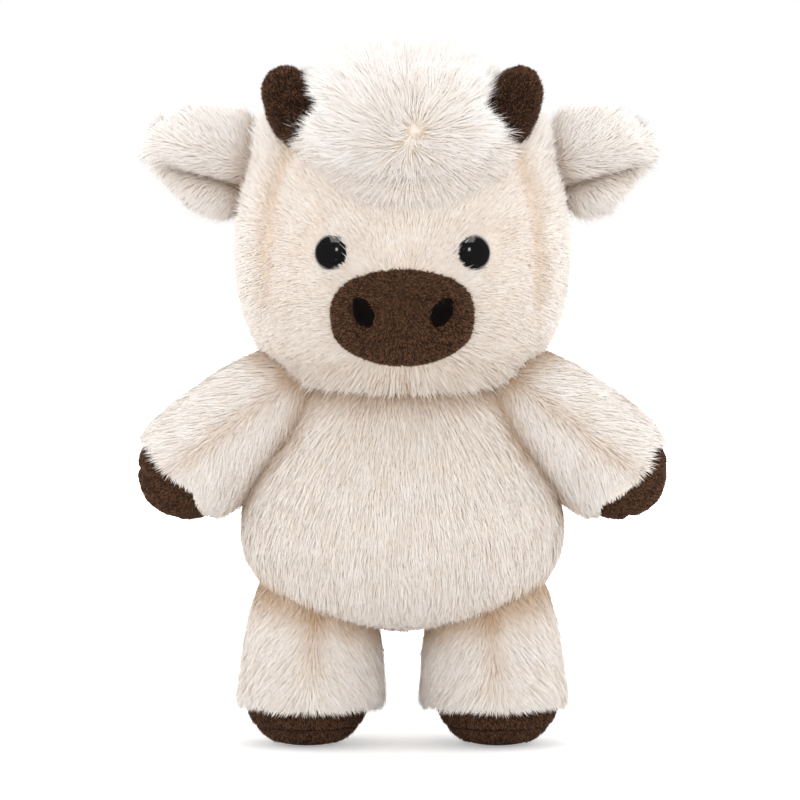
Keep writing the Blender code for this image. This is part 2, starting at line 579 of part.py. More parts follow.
def build_legs(mats, torso_space, hips):
    """Makes the two legs: a pile sleeve, a short pile hoof band, a sole, stuffing and pellets."""
    for side, label in ((1, "left"), (-1, "right")):
        joint = hips[label]
        turn = Matrix.Rotation(math.radians(-LEG_SPLAY_DEG) * side, 4, "Y")
        place = Matrix.Translation((side * LEG_SPREAD, -LEG_FORWARD, LEG_MIDDLE_HEIGHT)) @ turn
        leg = Sack(place, LEG_HALF_LENGTH, LEG_HALF_WIDTH, LEG_HALF_DEPTH, LEG_WIDTH_SHARES)
        to_leg = place.inverted()
        down = (to_leg.to_3x3() @ Vector((0, 0, -1))).normalized()
        hem = (to_leg @ Vector((side * LEG_SPREAD, -LEG_FORWARD, LEG_HEM_HEIGHT)), down)
        hollow = new_sack("leg_hollow_" + label, leg, INNER_FACETS, inset=COVER_WALL, cutter=True)
        cover = new_sack("leg_cover_" + label, leg, LIMB_FACETS, mats["cream"], joint, trims=[hem])
        cut(cover, hollow, torso_space)

        foot = Matrix.Translation((side * FOOT_SPREAD, -LEG_FORWARD, 0))
        band_top = LEG_HEM_HEIGHT - GAP
        band_low = SOLE_SEAM_HEIGHT + GAP
        band_rise = band_top - band_low
        inner = HOOF_TOP_RADIUS - SHORT_PILE_WALL
        band = [(HOOF_TOP_RADIUS, band_top), (HOOF_RADIUS, band_top - band_rise / 3),
                (HOOF_RADIUS, band_low + band_rise / 4), (HOOF_RADIUS - GAP, band_low),
                (inner, band_low), (inner, band_top)]
        new_turned("leg_hoof_" + label, foot, band, ROUND_STEPS, mats["brown"], joint)

        edge = arc(SOLE_FLAT_RADIUS, SOLE_SEAM_HEIGHT, SOLE_EDGE_WIDTH, SOLE_SEAM_HEIGHT, 0, -90,
                   SOLE_EDGE_FACETS)
        sole = [(0, SOLE_THICKNESS), (inner - SOLE_THICKNESS, SOLE_THICKNESS), (inner, SOLE_SEAM_HEIGHT)]
        sole += edge + [(0, 0)]
        new_turned("leg_sole_" + label, foot, sole, ROUND_STEPS, mats["brown"], joint)

        pellet_low = SOLE_THICKNESS + GAP
        pellet_top = pellet_low + PELLET_DEPTH
        tuck = PELLET_DEPTH / 3
        belt = inner - SOLE_THICKNESS - GAP
        bag = [(0, pellet_top), (belt - tuck, pellet_top), (belt, pellet_top - tuck),
               (belt - GAP, pellet_low), (0, pellet_low)]
        new_turned("foot_pellets_" + label, foot, bag, FINE_STEPS, mats["plastic"], joint)

        above = (to_leg @ Vector((side * LEG_SPREAD, -LEG_FORWARD, pellet_top + GAP)), down)
        stuffing = new_sack("leg_stuffing_" + label, leg, INNER_FACETS, mats["fibre"], joint,
                            inset=COVER_WALL + GAP, trims=[above])
        around = new_rod("foot_inside_" + label, foot, HOOF_RADIUS + COVER_WALL, 0, LEG_HEM_HEIGHT,
                         ROUND_STEPS)
        core = new_rod("foot_core_" + label, foot, inner - GAP, -OVERRUN, LEG_HEM_HEIGHT + OVERRUN,
                       ROUND_STEPS)
        cut(around, core)
        cut(stuffing, torso_space, around)


def build_tail(mats, torso_cover, tail_joint):
    """Makes the tail, a thin pile tube with a tuft of longer pile at its end."""
    root = tail_joint.matrix_basis.translation
    turn = Matrix.Rotation(math.radians(TAIL_LEAN_DEG) - math.pi, 4, "X")
    half = TAIL_LENGTH / 2
    place = Matrix.Translation(root) @ turn @ Matrix.Translation((0, 0, half - TAIL_ROOT_RADIUS))
    tail = Sack(place, half, TAIL_RADIUS, TAIL_RADIUS)
    tuft_place = place @ Matrix.Translation((0, 0, half))
    tuft = Sack(tuft_place, TUFT_HALF_LENGTH, TUFT_RADIUS, TUFT_RADIUS)
    cover = new_sack("tail_cover", tail, SMALL_FACETS, mats["cream"], tail_joint)
    tuft_space = new_sack("tuft_space", tuft, SMALL_FACETS, inset=-GAP, cutter=True)
    cut(cover, tuft_space)
    new_sack("tail_tuft", tuft, SMALL_FACETS, mats["shade"], tail_joint)
    pocket = new_sack("tail_pocket", Sack(Matrix.Translation(root), TAIL_ROOT_RADIUS, TAIL_ROOT_RADIUS,
                                          TAIL_ROOT_RADIUS), SMALL_FACETS, inset=-2 * GAP, cutter=True)
    cut(torso_cover, pocket)


def main():
    """Builds the cow from its torso outwards."""
    mats = {
        "cream": new_material("cream long pile", CREAM, 0.9),
        "shade": new_material("cream pile in shade", CREAM_SHADE, 0.9),
        "brown": new_material("brown short pile", BROWN, 0.85),
        "dark": new_material("nostril cloth", DARK_BROWN, 0.8),
        "black": new_material("eye plastic", BLACK, 0.08),
        "fibre": new_material("polyester fibre", FIBRE, 0.95),
        "plastic": new_material("natural plastic", NATURAL_PLASTIC, 0.5),
    }
    torso = Sack(Matrix.Translation((0, 0, TORSO_MIDDLE_HEIGHT)), TORSO_HALF_HEIGHT, TORSO_HALF_WIDTH,
                 TORSO_HALF_DEPTH, TORSO_WIDTH_SHARES, TORSO_DEPTH_SHARES, TORSO_LEAN_SHARES)
    head = head_form()
    root = new_empty("torso_frame", (0, 0, TORSO_MIDDLE_HEIGHT))
    neck = new_empty("neck_axis", (0, 0, CHIN_HEIGHT))
    shoulders, hips, ear_joints = {}, {}, {}
    for side, label in ((1, "left"), (-1, "right")):
        shoulders[label] = new_empty("shoulder_" + label,
                                     (side * SHOULDER_SPREAD, -ARM_FORWARD, SHOULDER_HEIGHT))
        hips[label] = new_empty("hip_" + label, (side * LEG_SPREAD, -HIP_FORWARD, HIP_HEIGHT))
        ear_root = EAR_SPREAD - (EAR_HALF_LENGTH - EAR_ROOT_INSET) * math.cos(math.radians(EAR_RISE_DEG))
        ear_low = EAR_HEIGHT - (EAR_HALF_LENGTH - EAR_ROOT_INSET) * math.sin(math.radians(EAR_RISE_DEG))
        ear_joints[label] = new_empty("ear_axis_" + label, (side * ear_root, EAR_BACK, ear_low))
    back_of_torso, _ = torso.front(0, TAIL_HEIGHT)
    lean = torso.half_depth * share_at(torso.lean_shares, 0.5)
    tail_joint = new_empty("tail_axis", (0, 2 * lean - back_of_torso.y + TAIL_STAND_OFF, TAIL_HEIGHT))

    torso_space = new_sack("torso_space", torso, BIG_FACETS, inset=-GAP, cutter=True)
    head_envelope = new_sack("head_envelope", turning_head_form(), BIG_FACETS, inset=-TURN_CLEARANCE,
                             cutter=True)
    torso_cover = build_torso(mats, root, torso, head_envelope)
    head_cover, head_stuffing, head_space = build_head(mats, neck, head)
    horn_spaces = build_horns(mats, neck, head_space)
    build_forelock(mats, neck, head_space, horn_spaces)
    build_nose(mats, neck, head, head_space)
    build_eyes(mats, neck, head, head_cover, head_stuffing)
    build_ears(mats, head_cover, head_stuffing, head_space, ear_joints)
    build_arms(mats, torso, torso_space, head_envelope, shoulders)
    build_legs(mats, torso_space, hips)
    build_tail(mats, torso_cover, tail_joint)
    centre_on_origin(BODY_COLLECTION.objects["nostril_left"], BODY_COLLECTION.objects["tail_tuft"])


for old in list(bpy.data.objects):
    bpy.data.objects.remove(old, do_unlink=True)
BODY_COLLECTION = bpy.data.collections.new("plush_cow")
CUTTER_COLLECTION = bpy.data.collections.new("cutters")
bpy.context.scene.collection.children.link(BODY_COLLECTION)
bpy.context.scene.collection.children.link(CUTTER_COLLECTION)
main()
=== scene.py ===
"""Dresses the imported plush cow: long cream pile, short brown pile, seams, eyes and a plain studio.

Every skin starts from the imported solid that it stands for. Geometry Nodes grow the pile on it, combed the
way that each panel of the toy is brushed. Lengths are in metres, +Z is up, the cow faces -Y, and its own
left side is +X.
"""

import logging
import math
from dataclasses import dataclass
from enum import Enum

import bmesh
import bpy
import numpy as np
from mathutils import Matrix, Vector


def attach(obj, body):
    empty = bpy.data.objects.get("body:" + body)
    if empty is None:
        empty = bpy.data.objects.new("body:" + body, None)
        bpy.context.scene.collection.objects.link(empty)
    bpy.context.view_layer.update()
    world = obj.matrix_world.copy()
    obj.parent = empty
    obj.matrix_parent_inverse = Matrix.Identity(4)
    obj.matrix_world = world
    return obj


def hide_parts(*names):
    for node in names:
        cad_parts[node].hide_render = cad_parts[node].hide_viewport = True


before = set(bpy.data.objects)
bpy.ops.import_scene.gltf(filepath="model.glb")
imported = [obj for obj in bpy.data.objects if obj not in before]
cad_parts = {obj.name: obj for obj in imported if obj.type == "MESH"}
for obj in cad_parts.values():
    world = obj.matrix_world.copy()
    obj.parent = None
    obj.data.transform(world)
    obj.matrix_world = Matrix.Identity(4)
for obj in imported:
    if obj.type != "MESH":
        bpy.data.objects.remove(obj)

Colour = tuple[float, float, float]
Profile = list[tuple[float, float]]
Shares = tuple[float, ...]
Amount = np.ndarray | float
Socket = bpy.types.NodeSocket

LOG = logging.getLogger("plush_cow")
ROUND: Shares = (1.0,) * 7
STRAIGHT: Shares = (0.0,) * 7
BACK_SHIFT = 0.0013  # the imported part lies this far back, so that the origin is below its middle
BAKE_MAP = "OFBake"
MERGE = 1e-6  # points nearer than this are one point
NOSE_HEIGHT = 0.1808
WHORL = (0.0031, 0.2500)  # across and up, where the crown's pile spreads from
WAVES = ((1, 0.31, 0.17), (-0.42, 0.83, 0.36), (0.23, -0.57, 1.07), (0.71, 0.66, -0.59))
WAVE_PHASE = 1.7
UP = np.array((0, 0, 1.0))
AXIS_PHASE = 5.3


class Side(Enum):
    """The cow's own left and right."""

    LEFT = 1
    RIGHT = -1

    @property
    def label(self) -> str:
        """The word that ends the names of this side's pieces."""
        return self.name.lower()


def shade(red: int, green: int, blue: int) -> Colour:
    """Turns a screen colour into the linear one that a shader takes.

    Args:
        red: 0 to 255.
        green: 0 to 255.
        blue: 0 to 255.

    Returns:
        The three linear shares.
    """
    # the curve of screen colours: straight up to a knee, then a power
    slope, knee, offset, power = 12.92, 0.04045, 0.055, 2.4
    parts = (part / 255 for part in (red, green, blue))
    return tuple(part / slope if part <= knee else ((part + offset) / (1 + offset)) ** power
                 for part in parts)


def ease(value: np.ndarray, low: float, high: float) -> np.ndarray:
    """Rises smoothly from 0 at low to 1 at high.

    Args:
        value: Any numbers.
        low: Where the rise starts.
        high: Where it ends.

    Returns:
        One share from 0 to 1 for each number.
    """
    part = np.clip((value - low) / (high - low), 0, 1)
    return part * part * (3 - 2 * part)


def bell(away: np.ndarray, width: float) -> np.ndarray:
    """Gives 1 where away is 0, falling off on both sides over a width."""
    return np.exp(-(away / width) ** 2)


def unit(vectors: np.ndarray) -> np.ndarray:
    """Scales each row to length 1."""
    return vectors / np.maximum(np.linalg.norm(vectors, axis=-1, keepdims=True), 1e-9)


def along_skin(vectors: np.ndarray, normals: np.ndarray) -> np.ndarray:
    """Turns directions into unit directions that lie in the skin.

    Args:
        vectors: One direction a row.
        normals: The skin's outward normal for each row.

    Returns:
        The directions with their part along the normal taken out.
    """
    flat = vectors - np.sum(vectors * normals, axis=1, keepdims=True) * normals
    return unit(flat)


def patches(points: np.ndarray, size: float, phase: float) -> np.ndarray:
    """Gives soft uneven patches, from -1 to 1, that repeat nowhere on the toy.

    Args:
        points: Places in metres.
        size: The patches' size in metres.
        phase: Picks another pattern.

    Returns:
        One number a row.
    """
    turns = points * (2 * math.pi / size)
    total = np.zeros(len(points))
    for index, (x, y, z) in enumerate(WAVES):
        total += np.sin(turns[:, 0] * x + turns[:, 1] * y + turns[:, 2] * z + phase * (index + WAVE_PHASE))
    return total / len(WAVES)


def swirl(points: np.ndarray, size: float, phase: float) -> np.ndarray:
    """Gives soft uneven directions, as patches does for numbers."""
    return np.stack([patches(points, size, phase + AXIS_PHASE * axis) for axis in range(3)], axis=1)


def rows(items: bpy.types.bpy_prop_collection, key: str, kind: type = float) -> np.ndarray:
    """Reads three numbers from each point or face of a mesh.

    Args:
        items: The mesh's points or triangles.
        key: What to read.
        kind: The type of the numbers.

    Returns:
        One row an item.
    """
    values = np.empty(len(items) * 3, kind)
    items.foreach_get(key, values)
    return values.reshape(-1, 3)


def placed(name: str, data: bpy.types.ID) -> bpy.types.Object:
    """Makes an object from its data and puts it in the scene."""
    made = bpy.data.objects.new(name, data)
    bpy.context.scene.collection.objects.link(made)
    return made


def split_long(mesh: bmesh.types.BMesh, long: list[bmesh.types.BMEdge]) -> None:
    """Halves edges."""
    bmesh.ops.subdivide_edges(mesh, edges=long, cuts=1)


def triangles_only(mesh: bmesh.types.BMesh) -> None:
    """Splits every larger face into triangles."""
    bmesh.ops.triangulate(mesh, faces=[face for face in mesh.faces if len(face.verts) > 3])


def share_at(shares: Shares, where: np.ndarray) -> np.ndarray:
    """Reads a table of evenly spaced shares on a smooth curve.

    Args:
        shares: The table, from a form's root to its tip.
        where: Places from 0 to 1.

    Returns:
        The share at each place.
    """
    table = np.array(shares)
    last = len(shares) - 1
    spot = np.clip(where, 0, 1) * last
    low = np.minimum(spot.astype(int), last - 1)
    part = spot - low
    before, left = table[np.maximum(low - 1, 0)], table[low]
    right, after = table[low + 1], table[np.minimum(low + 2, last)]
    bend = 2 * before - 5 * left + 4 * right - after + part * (3 * (left - right) + after - before)
    return left + part / 2 * (right - before + part * bend)


@dataclass(frozen=True)
class StuffedForm:
    """A stuffed form: a ball stretched from its root to its tip, which swells and tapers."""

    STEP = 0.0002
    LEAST_SLOPE = 1e-6

    place: Matrix
    half_length: float
    half_width: float
    half_depth: float
    width_shares: Shares = ROUND
    depth_shares: Shares | None = None
    lean_shares: Shares = STRAIGHT

    @property
    def turn(self) -> np.ndarray:
        """The form's own X, Y and Z in the world, one a column."""
        return np.array(self.place.to_3x3())

    @property
    def tip(self) -> np.ndarray:
        """The direction from its root to its tip."""
        return self.turn[:, 2]

    def local(self, points: np.ndarray) -> np.ndarray:
        """Gives world points in the form's own frame."""
        return (points - np.array(self.place.translation)) @ self.turn

    def world(self, points: np.ndarray) -> np.ndarray:
        """Gives the form's own points in the world."""
        return points @ self.turn.T + np.array(self.place.translation)

    def _spans(self, high: np.ndarray) -> tuple[np.ndarray, np.ndarray, np.ndarray]:
        """Gives the half width, half depth and lean at heights from -1 to 1."""
        where = np.arccos(np.clip(-high, -1, 1)) / math.pi
        depth_shares = self.depth_shares or self.width_shares
        return (self.half_width * share_at(self.width_shares, where),
                self.half_depth * share_at(depth_shares, where),
                self.half_depth * share_at(self.lean_shares, where))

    def ball(self, points: np.ndarray) -> np.ndarray:
        """Gives each world point's place on the ball that the form is stretched from."""
        spot = self.local(points)
        high = spot[:, 2] / self.half_length
        width, depth, lean = self._spans(high)
        return np.stack((spot[:, 0] / width, (spot[:, 1] - lean) / depth, high), axis=1)

    def level(self, points: np.ndarray) -> np.ndarray:
        """Gives 1 on the skin, less inside and more outside."""
        return np.linalg.norm(self.ball(points), axis=1)

    def skin(self, ball: np.ndarray) -> np.ndarray:
        """Gives the world points of the skin for unit directions of the ball."""
        width, depth, lean = self._spans(ball[:, 2])
        spot = (ball[:, 0] * width, ball[:, 1] * depth + lean, ball[:, 2] * self.half_length)
        return self.world(np.stack(spot, axis=1))

    def snapped(self, points: np.ndarray) -> np.ndarray:
        """Moves points that lie near the skin onto it."""
        return self.skin(unit(self.ball(points)))

    def slope(self, points: np.ndarray) -> np.ndarray:
        """Gives how the level rises along X, Y and Z."""
        rises = [self.level(points + axis) - self.level(points - axis) for axis in np.eye(3) * self.STEP]
        return np.stack(rises, axis=1) / (2 * self.STEP)

    def outward(self, points: np.ndarray) -> np.ndarray:
        """Gives the unit normal that points out of the form."""
        return unit(self.slope(points))

    def distance(self, points: np.ndarray) -> np.ndarray:
        """Gives about how far each point is outside the skin, below 0 inside."""
        steep = np.maximum(np.linalg.norm(self.slope(points), axis=1), self.LEAST_SLOPE)
        return (self.level(points) - 1) / steep

    def front(self, across: float, height: float) -> tuple[Vector, Vector]:
        """Finds the front skin at a width and height.

        Args:
            across: World X.
            height: World Z.

        Returns:
            The point and its outward normal.
        """
        high = np.array([(height - self.place.translation.z) / self.half_length])
        width, _, _ = self._spans(high)
        wide = across / width
        deep = -np.sqrt(np.maximum(0, 1 - high * high - wide * wide))
        point = self.skin(np.stack((wide, deep, high), axis=1))
        return Vector(point[0]), Vector(self.outward(point)[0])


def new_surface(name: str) -> tuple[bpy.types.Material, bpy.types.ShaderNode]:
    """Makes a material with its node tree.

    Args:
        name: The material's name.

    Returns:
        The material and its Principled shader.
    """
    material = bpy.data.materials.new(name)
    material.use_nodes = True
    return material, material.node_tree.nodes["Principled BSDF"]


@dataclass(frozen=True)
class PileFinish:
    """Dyed pile: its colour runs from root to tip, and from shaded strands to lit ones.

    The bake map holds each strand's tone across and the place along the strand upwards. Tone mixes random
    tone with painted shade (low) and painted light (high).
    """

    name: str
    root_shaded: Colour
    root_lit: Colour
    tip_shaded: Colour
    tip_lit: Colour
    warm: Colour
    root_end: float = 0.1
    tip_start: float = 0.75
    roughness: float = 0.85
    sheen: float = 0.2
    sheen_tint: Colour = (1.0, 0.97, 0.93)

    def material(self) -> bpy.types.Material:
        """Builds the material's nodes.

        Returns:
            The finished material.
        """
        material, shader = new_surface(self.name)
        nodes, links = material.node_tree.nodes, material.node_tree.links
        read = nodes.new("ShaderNodeUVMap")
        read.uv_map = BAKE_MAP
        split = nodes.new("ShaderNodeSeparateXYZ")
        links.new(read.outputs["UV"], split.inputs[0])

        def mixed(low: Colour, high: Colour, share: Socket) -> bpy.types.ShaderNode:
            """Mixes two colours by a share."""
            mix = nodes.new("ShaderNodeMix")
            mix.data_type = "RGBA"
            mix.inputs[6].default_value = (*low, 1)
            mix.inputs[7].default_value = (*high, 1)
            links.new(share, mix.inputs[0])
            return mix

        # tone 0 gives the shaded colours, which are painted shade, and tone 1 the lit ones, which are painted
        # light
        root = mixed(self.root_shaded, self.root_lit, split.outputs["X"])
        tip = mixed(self.tip_shaded, self.tip_lit, split.outputs["X"])
        rise = nodes.new("ShaderNodeMapRange")
        rise.interpolation_type = "SMOOTHSTEP"
        rise.inputs["From Min"].default_value = self.root_end
        rise.inputs["From Max"].default_value = self.tip_start
        links.new(split.outputs["Y"], rise.inputs["Value"])
        along = mixed(self.root_lit, self.tip_lit, rise.outputs["Result"])
        links.new(root.outputs[2], along.inputs[6])
        links.new(tip.outputs[2], along.inputs[7])
        dye = nodes.new("ShaderNodeTexNoise")
        dye.noise_dimensions = "1D"
        dye.inputs["Scale"].default_value = 70
        dye.inputs["Detail"].default_value = 1
        links.new(split.outputs["X"], dye.inputs["W"])
        spread = nodes.new("ShaderNodeMapRange")
        spread.inputs["From Min"].default_value = 0.45
        spread.inputs["From Max"].default_value = 0.7
        spread.inputs["To Max"].default_value = 0.25
        links.new(dye.outputs[0], spread.inputs["Value"])
        dyed = mixed(self.warm, self.warm, spread.outputs["Result"])
        links.new(along.outputs[2], dyed.inputs[6])
        links.new(dyed.outputs[2], shader.inputs["Base Color"])
        gloss = nodes.new("ShaderNodeMapRange")
        gloss.inputs["To Min"].default_value = min(1.0, self.roughness + 0.1)
        gloss.inputs["To Max"].default_value = self.roughness - 0.1
        links.new(split.outputs["Y"], gloss.inputs["Value"])
        links.new(gloss.outputs["Result"], shader.inputs["Roughness"])
        shader.inputs["Sheen Weight"].default_value = self.sheen
        shader.inputs["Sheen Roughness"].default_value = 0.5
        shader.inputs["Sheen Tint"].default_value = (*self.sheen_tint, 1)
        shader.inputs["Specular IOR Level"].default_value = 0.2
        return material


@dataclass(frozen=True)
class EyePlastic:
    """Black moulded plastic of a safety eye, polished, with the faintest waviness."""

    name: str = "eye plastic"
    colour: Colour = (0.004, 0.0038, 0.0045)
    roughness: float = 0.09

    def material(self) -> bpy.types.Material:
        """Builds the material's nodes.

        Returns:
            The finished material.
        """
        material, shader = new_surface(self.name)
        nodes, links = material.node_tree.nodes, material.node_tree.links
        place = nodes.new("ShaderNodeTexCoord")
        wave = nodes.new("ShaderNodeTexNoise")
        wave.inputs["Scale"].default_value = 260
        links.new(place.outputs["Object"], wave.inputs["Vector"])
        tint = nodes.new("ShaderNodeMix")
        tint.data_type = "RGBA"
        tint.inputs[6].default_value = (*self.colour, 1)
        tint.inputs[7].default_value = (*(part * 1.6 for part in self.colour), 1)
        links.new(wave.outputs["Fac"], tint.inputs[0])
        links.new(tint.outputs[2], shader.inputs["Base Color"])
        gloss = nodes.new("ShaderNodeMapRange")
        gloss.inputs["To Min"].default_value = self.roughness
        gloss.inputs["To Max"].default_value = self.roughness + 0.05
        links.new(wave.outputs["Fac"], gloss.inputs["Value"])
        links.new(gloss.outputs["Result"], shader.inputs["Roughness"])
        bump = nodes.new("ShaderNodeBump")
        bump.inputs["Strength"].default_value = 0.03
        bump.inputs["Distance"].default_value = 0.0003
        links.new(wave.outputs["Fac"], bump.inputs["Height"])
        links.new(bump.outputs["Normal"], shader.inputs["Normal"])
        shader.inputs["Specular IOR Level"].default_value = 1.0
        shader.inputs["Coat Weight"].default_value = 1.0
        shader.inputs["Coat Roughness"].default_value = 0.12
        return material


@dataclass(frozen=True)
class MouldedPlastic:
    """Unpainted plastic of the locking washers, with a moulded grain."""

    name: str = "washer plastic"
    colour: Colour = (0.72, 0.70, 0.65)

    def material(self) -> bpy.types.Material:
        """Builds the material's nodes.

        Returns:
            The finished material.
        """
        material, shader = new_surface(self.name)
        nodes, links = material.node_tree.nodes, material.node_tree.links
        place = nodes.new("ShaderNodeTexCoord")
        grain = nodes.new("ShaderNodeTexNoise")
        grain.inputs["Scale"].default_value = 900
        grain.inputs["Detail"].default_value = 3
        links.new(place.outputs["Object"], grain.inputs["Vector"])
        tone = nodes.new("ShaderNodeValToRGB")
        tone.color_ramp.elements[0].color = (*(part * 0.9 for part in self.colour), 1)
        tone.color_ramp.elements[1].color = (*self.colour, 1)
        links.new(grain.outputs["Fac"], tone.inputs["Fac"])
        links.new(tone.outputs["Color"], shader.inputs["Base Color"])
        bump = nodes.new("ShaderNodeBump")
        bump.inputs["Strength"].default_value = 0.1
        bump.inputs["Distance"].default_value = 0.0001
        links.new(grain.outputs["Fac"], bump.inputs["Height"])
        links.new(bump.outputs["Normal"], shader.inputs["Normal"])
        shader.inputs["Roughness"].default_value = 0.45
        return material


@dataclass(frozen=True)
class FillingFinish:
    """Loose fibre or a cloth bag of pellets, seen only when the toy is opened."""

    name: str
    low: Colour
    high: Colour
    grain: float
    pellets: bool = False

    def material(self) -> bpy.types.Material:
        """Builds the material's nodes.

        Returns:
            The finished material.
        """
        material, shader = new_surface(self.name)
        nodes, links = material.node_tree.nodes, material.node_tree.links
        place = nodes.new("ShaderNodeTexCoord")
        if self.pellets:
            lump = nodes.new("ShaderNodeTexVoronoi")
            height = lump.outputs["Distance"]
        else:
            lump = nodes.new("ShaderNodeTexNoise")
            lump.inputs["Detail"].default_value = 6
            lump.inputs["Distortion"].default_value = 2
            height = lump.outputs["Fac"]
        lump.inputs["Scale"].default_value = self.grain
        links.new(place.outputs["Object"], lump.inputs["Vector"])
        tone = nodes.new("ShaderNodeValToRGB")
        tone.color_ramp.elements[0].position = 0.3
        tone.color_ramp.elements[0].color = (*self.low, 1)
        tone.color_ramp.elements[1].position = 0.7
        tone.color_ramp.elements[1].color = (*self.high, 1)
        links.new(height, tone.inputs["Fac"])
        links.new(tone.outputs["Color"], shader.inputs["Base Color"])
        bump = nodes.new("ShaderNodeBump")
        bump.inputs["Strength"].default_value = 0.6
        bump.inputs["Distance"].default_value = 0.0006
        bump.invert = self.pellets
        links.new(height, bump.inputs["Height"])
        links.new(bump.outputs["Normal"], shader.inputs["Normal"])
        shader.inputs["Roughness"].default_value = 0.9
        return material


CREAM_PILE = PileFinish(
    name="cream long pile",
    root_shaded=shade(176, 132, 88), root_lit=shade(249, 236, 217),
    tip_shaded=shade(208, 174, 136), tip_lit=shade(254, 253, 253),
    warm=shade(248, 240, 230))
BROWN_PILE = PileFinish(
    name="brown short pile",
    root_shaded=shade(20, 11, 6), root_lit=shade(40, 24, 15),
    tip_shaded=shade(38, 22, 13), tip_lit=shade(128, 90, 64),
    warm=shade(78, 46, 28), root_end=0.0, tip_start=0.9,
    roughness=0.8, sheen=0.16, sheen_tint=(0.85, 0.55, 0.38))
NOSTRIL_PILE = PileFinish(
    name="nostril cloth",
    root_shaded=shade(6, 3, 2), root_lit=shade(10, 6, 4),
    tip_shaded=shade(12, 7, 4), tip_lit=shade(22, 13, 9),
    warm=shade(16, 9, 6), root_end=0.0, tip_start=0.9,
    roughness=0.9, sheen=0.02, sheen_tint=(0.85, 0.6, 0.45))


@dataclass
class PileLay:
    """How the pile lies on a skin: one row for each point, or one value for them all."""

    comb: np.ndarray
    length: Amount
    # tone: random tone plus painted shade, low in creases, hollows and grooves, and painted light on rims
    tone: Amount
    lean: Amount = 0.6
    droop: Amount = 0.6
    thick: Amount = 1.0


@dataclass(frozen=True)
class PileCloth:
    """A knitted pile cloth: how its strands are made, whatever way they are combed."""

    finish: PileFinish
    slot: str
    density: float
    width: float
    splay: float
    clump_size: float
    clump: float
    stray: float = 0.3
    tone_spread: float = 0.16
    loft: float = 0.0
    softness: float = 0.85
    mottle: float = 0.2
    root_sink: float = 0.0003
    fill: float = 0.8


LONG_PILE = PileCloth(CREAM_PILE, "cream_pile", density=5.2e6, width=0.00039, splay=0.15, clump_size=0.0042,
                      clump=0.22, stray=0.6, softness=0.93, tone_spread=0.07, loft=0.0016)
CROWN_PILE = PileCloth(CREAM_PILE, "cream_pile", density=6.6e6, width=0.00034, splay=0.26, clump_size=0.0060,
                       clump=0.42, stray=0.6, tone_spread=0.07, loft=0.0030)
SHORT_PILE = PileCloth(BROWN_PILE, "brown_pile", density=7.0e6, width=0.00042, splay=0.45, clump_size=0.0015,
                       clump=0.9, tone_spread=1.4, softness=0.25, mottle=1.0)
NOSTRIL_CLOTH = PileCloth(NOSTRIL_PILE, "nostril_cloth", density=10.5e6, width=0.00026, splay=0.45,
                          clump_size=0.0022, clump=0.9, tone_spread=0.5, softness=0.25, mottle=1.6)


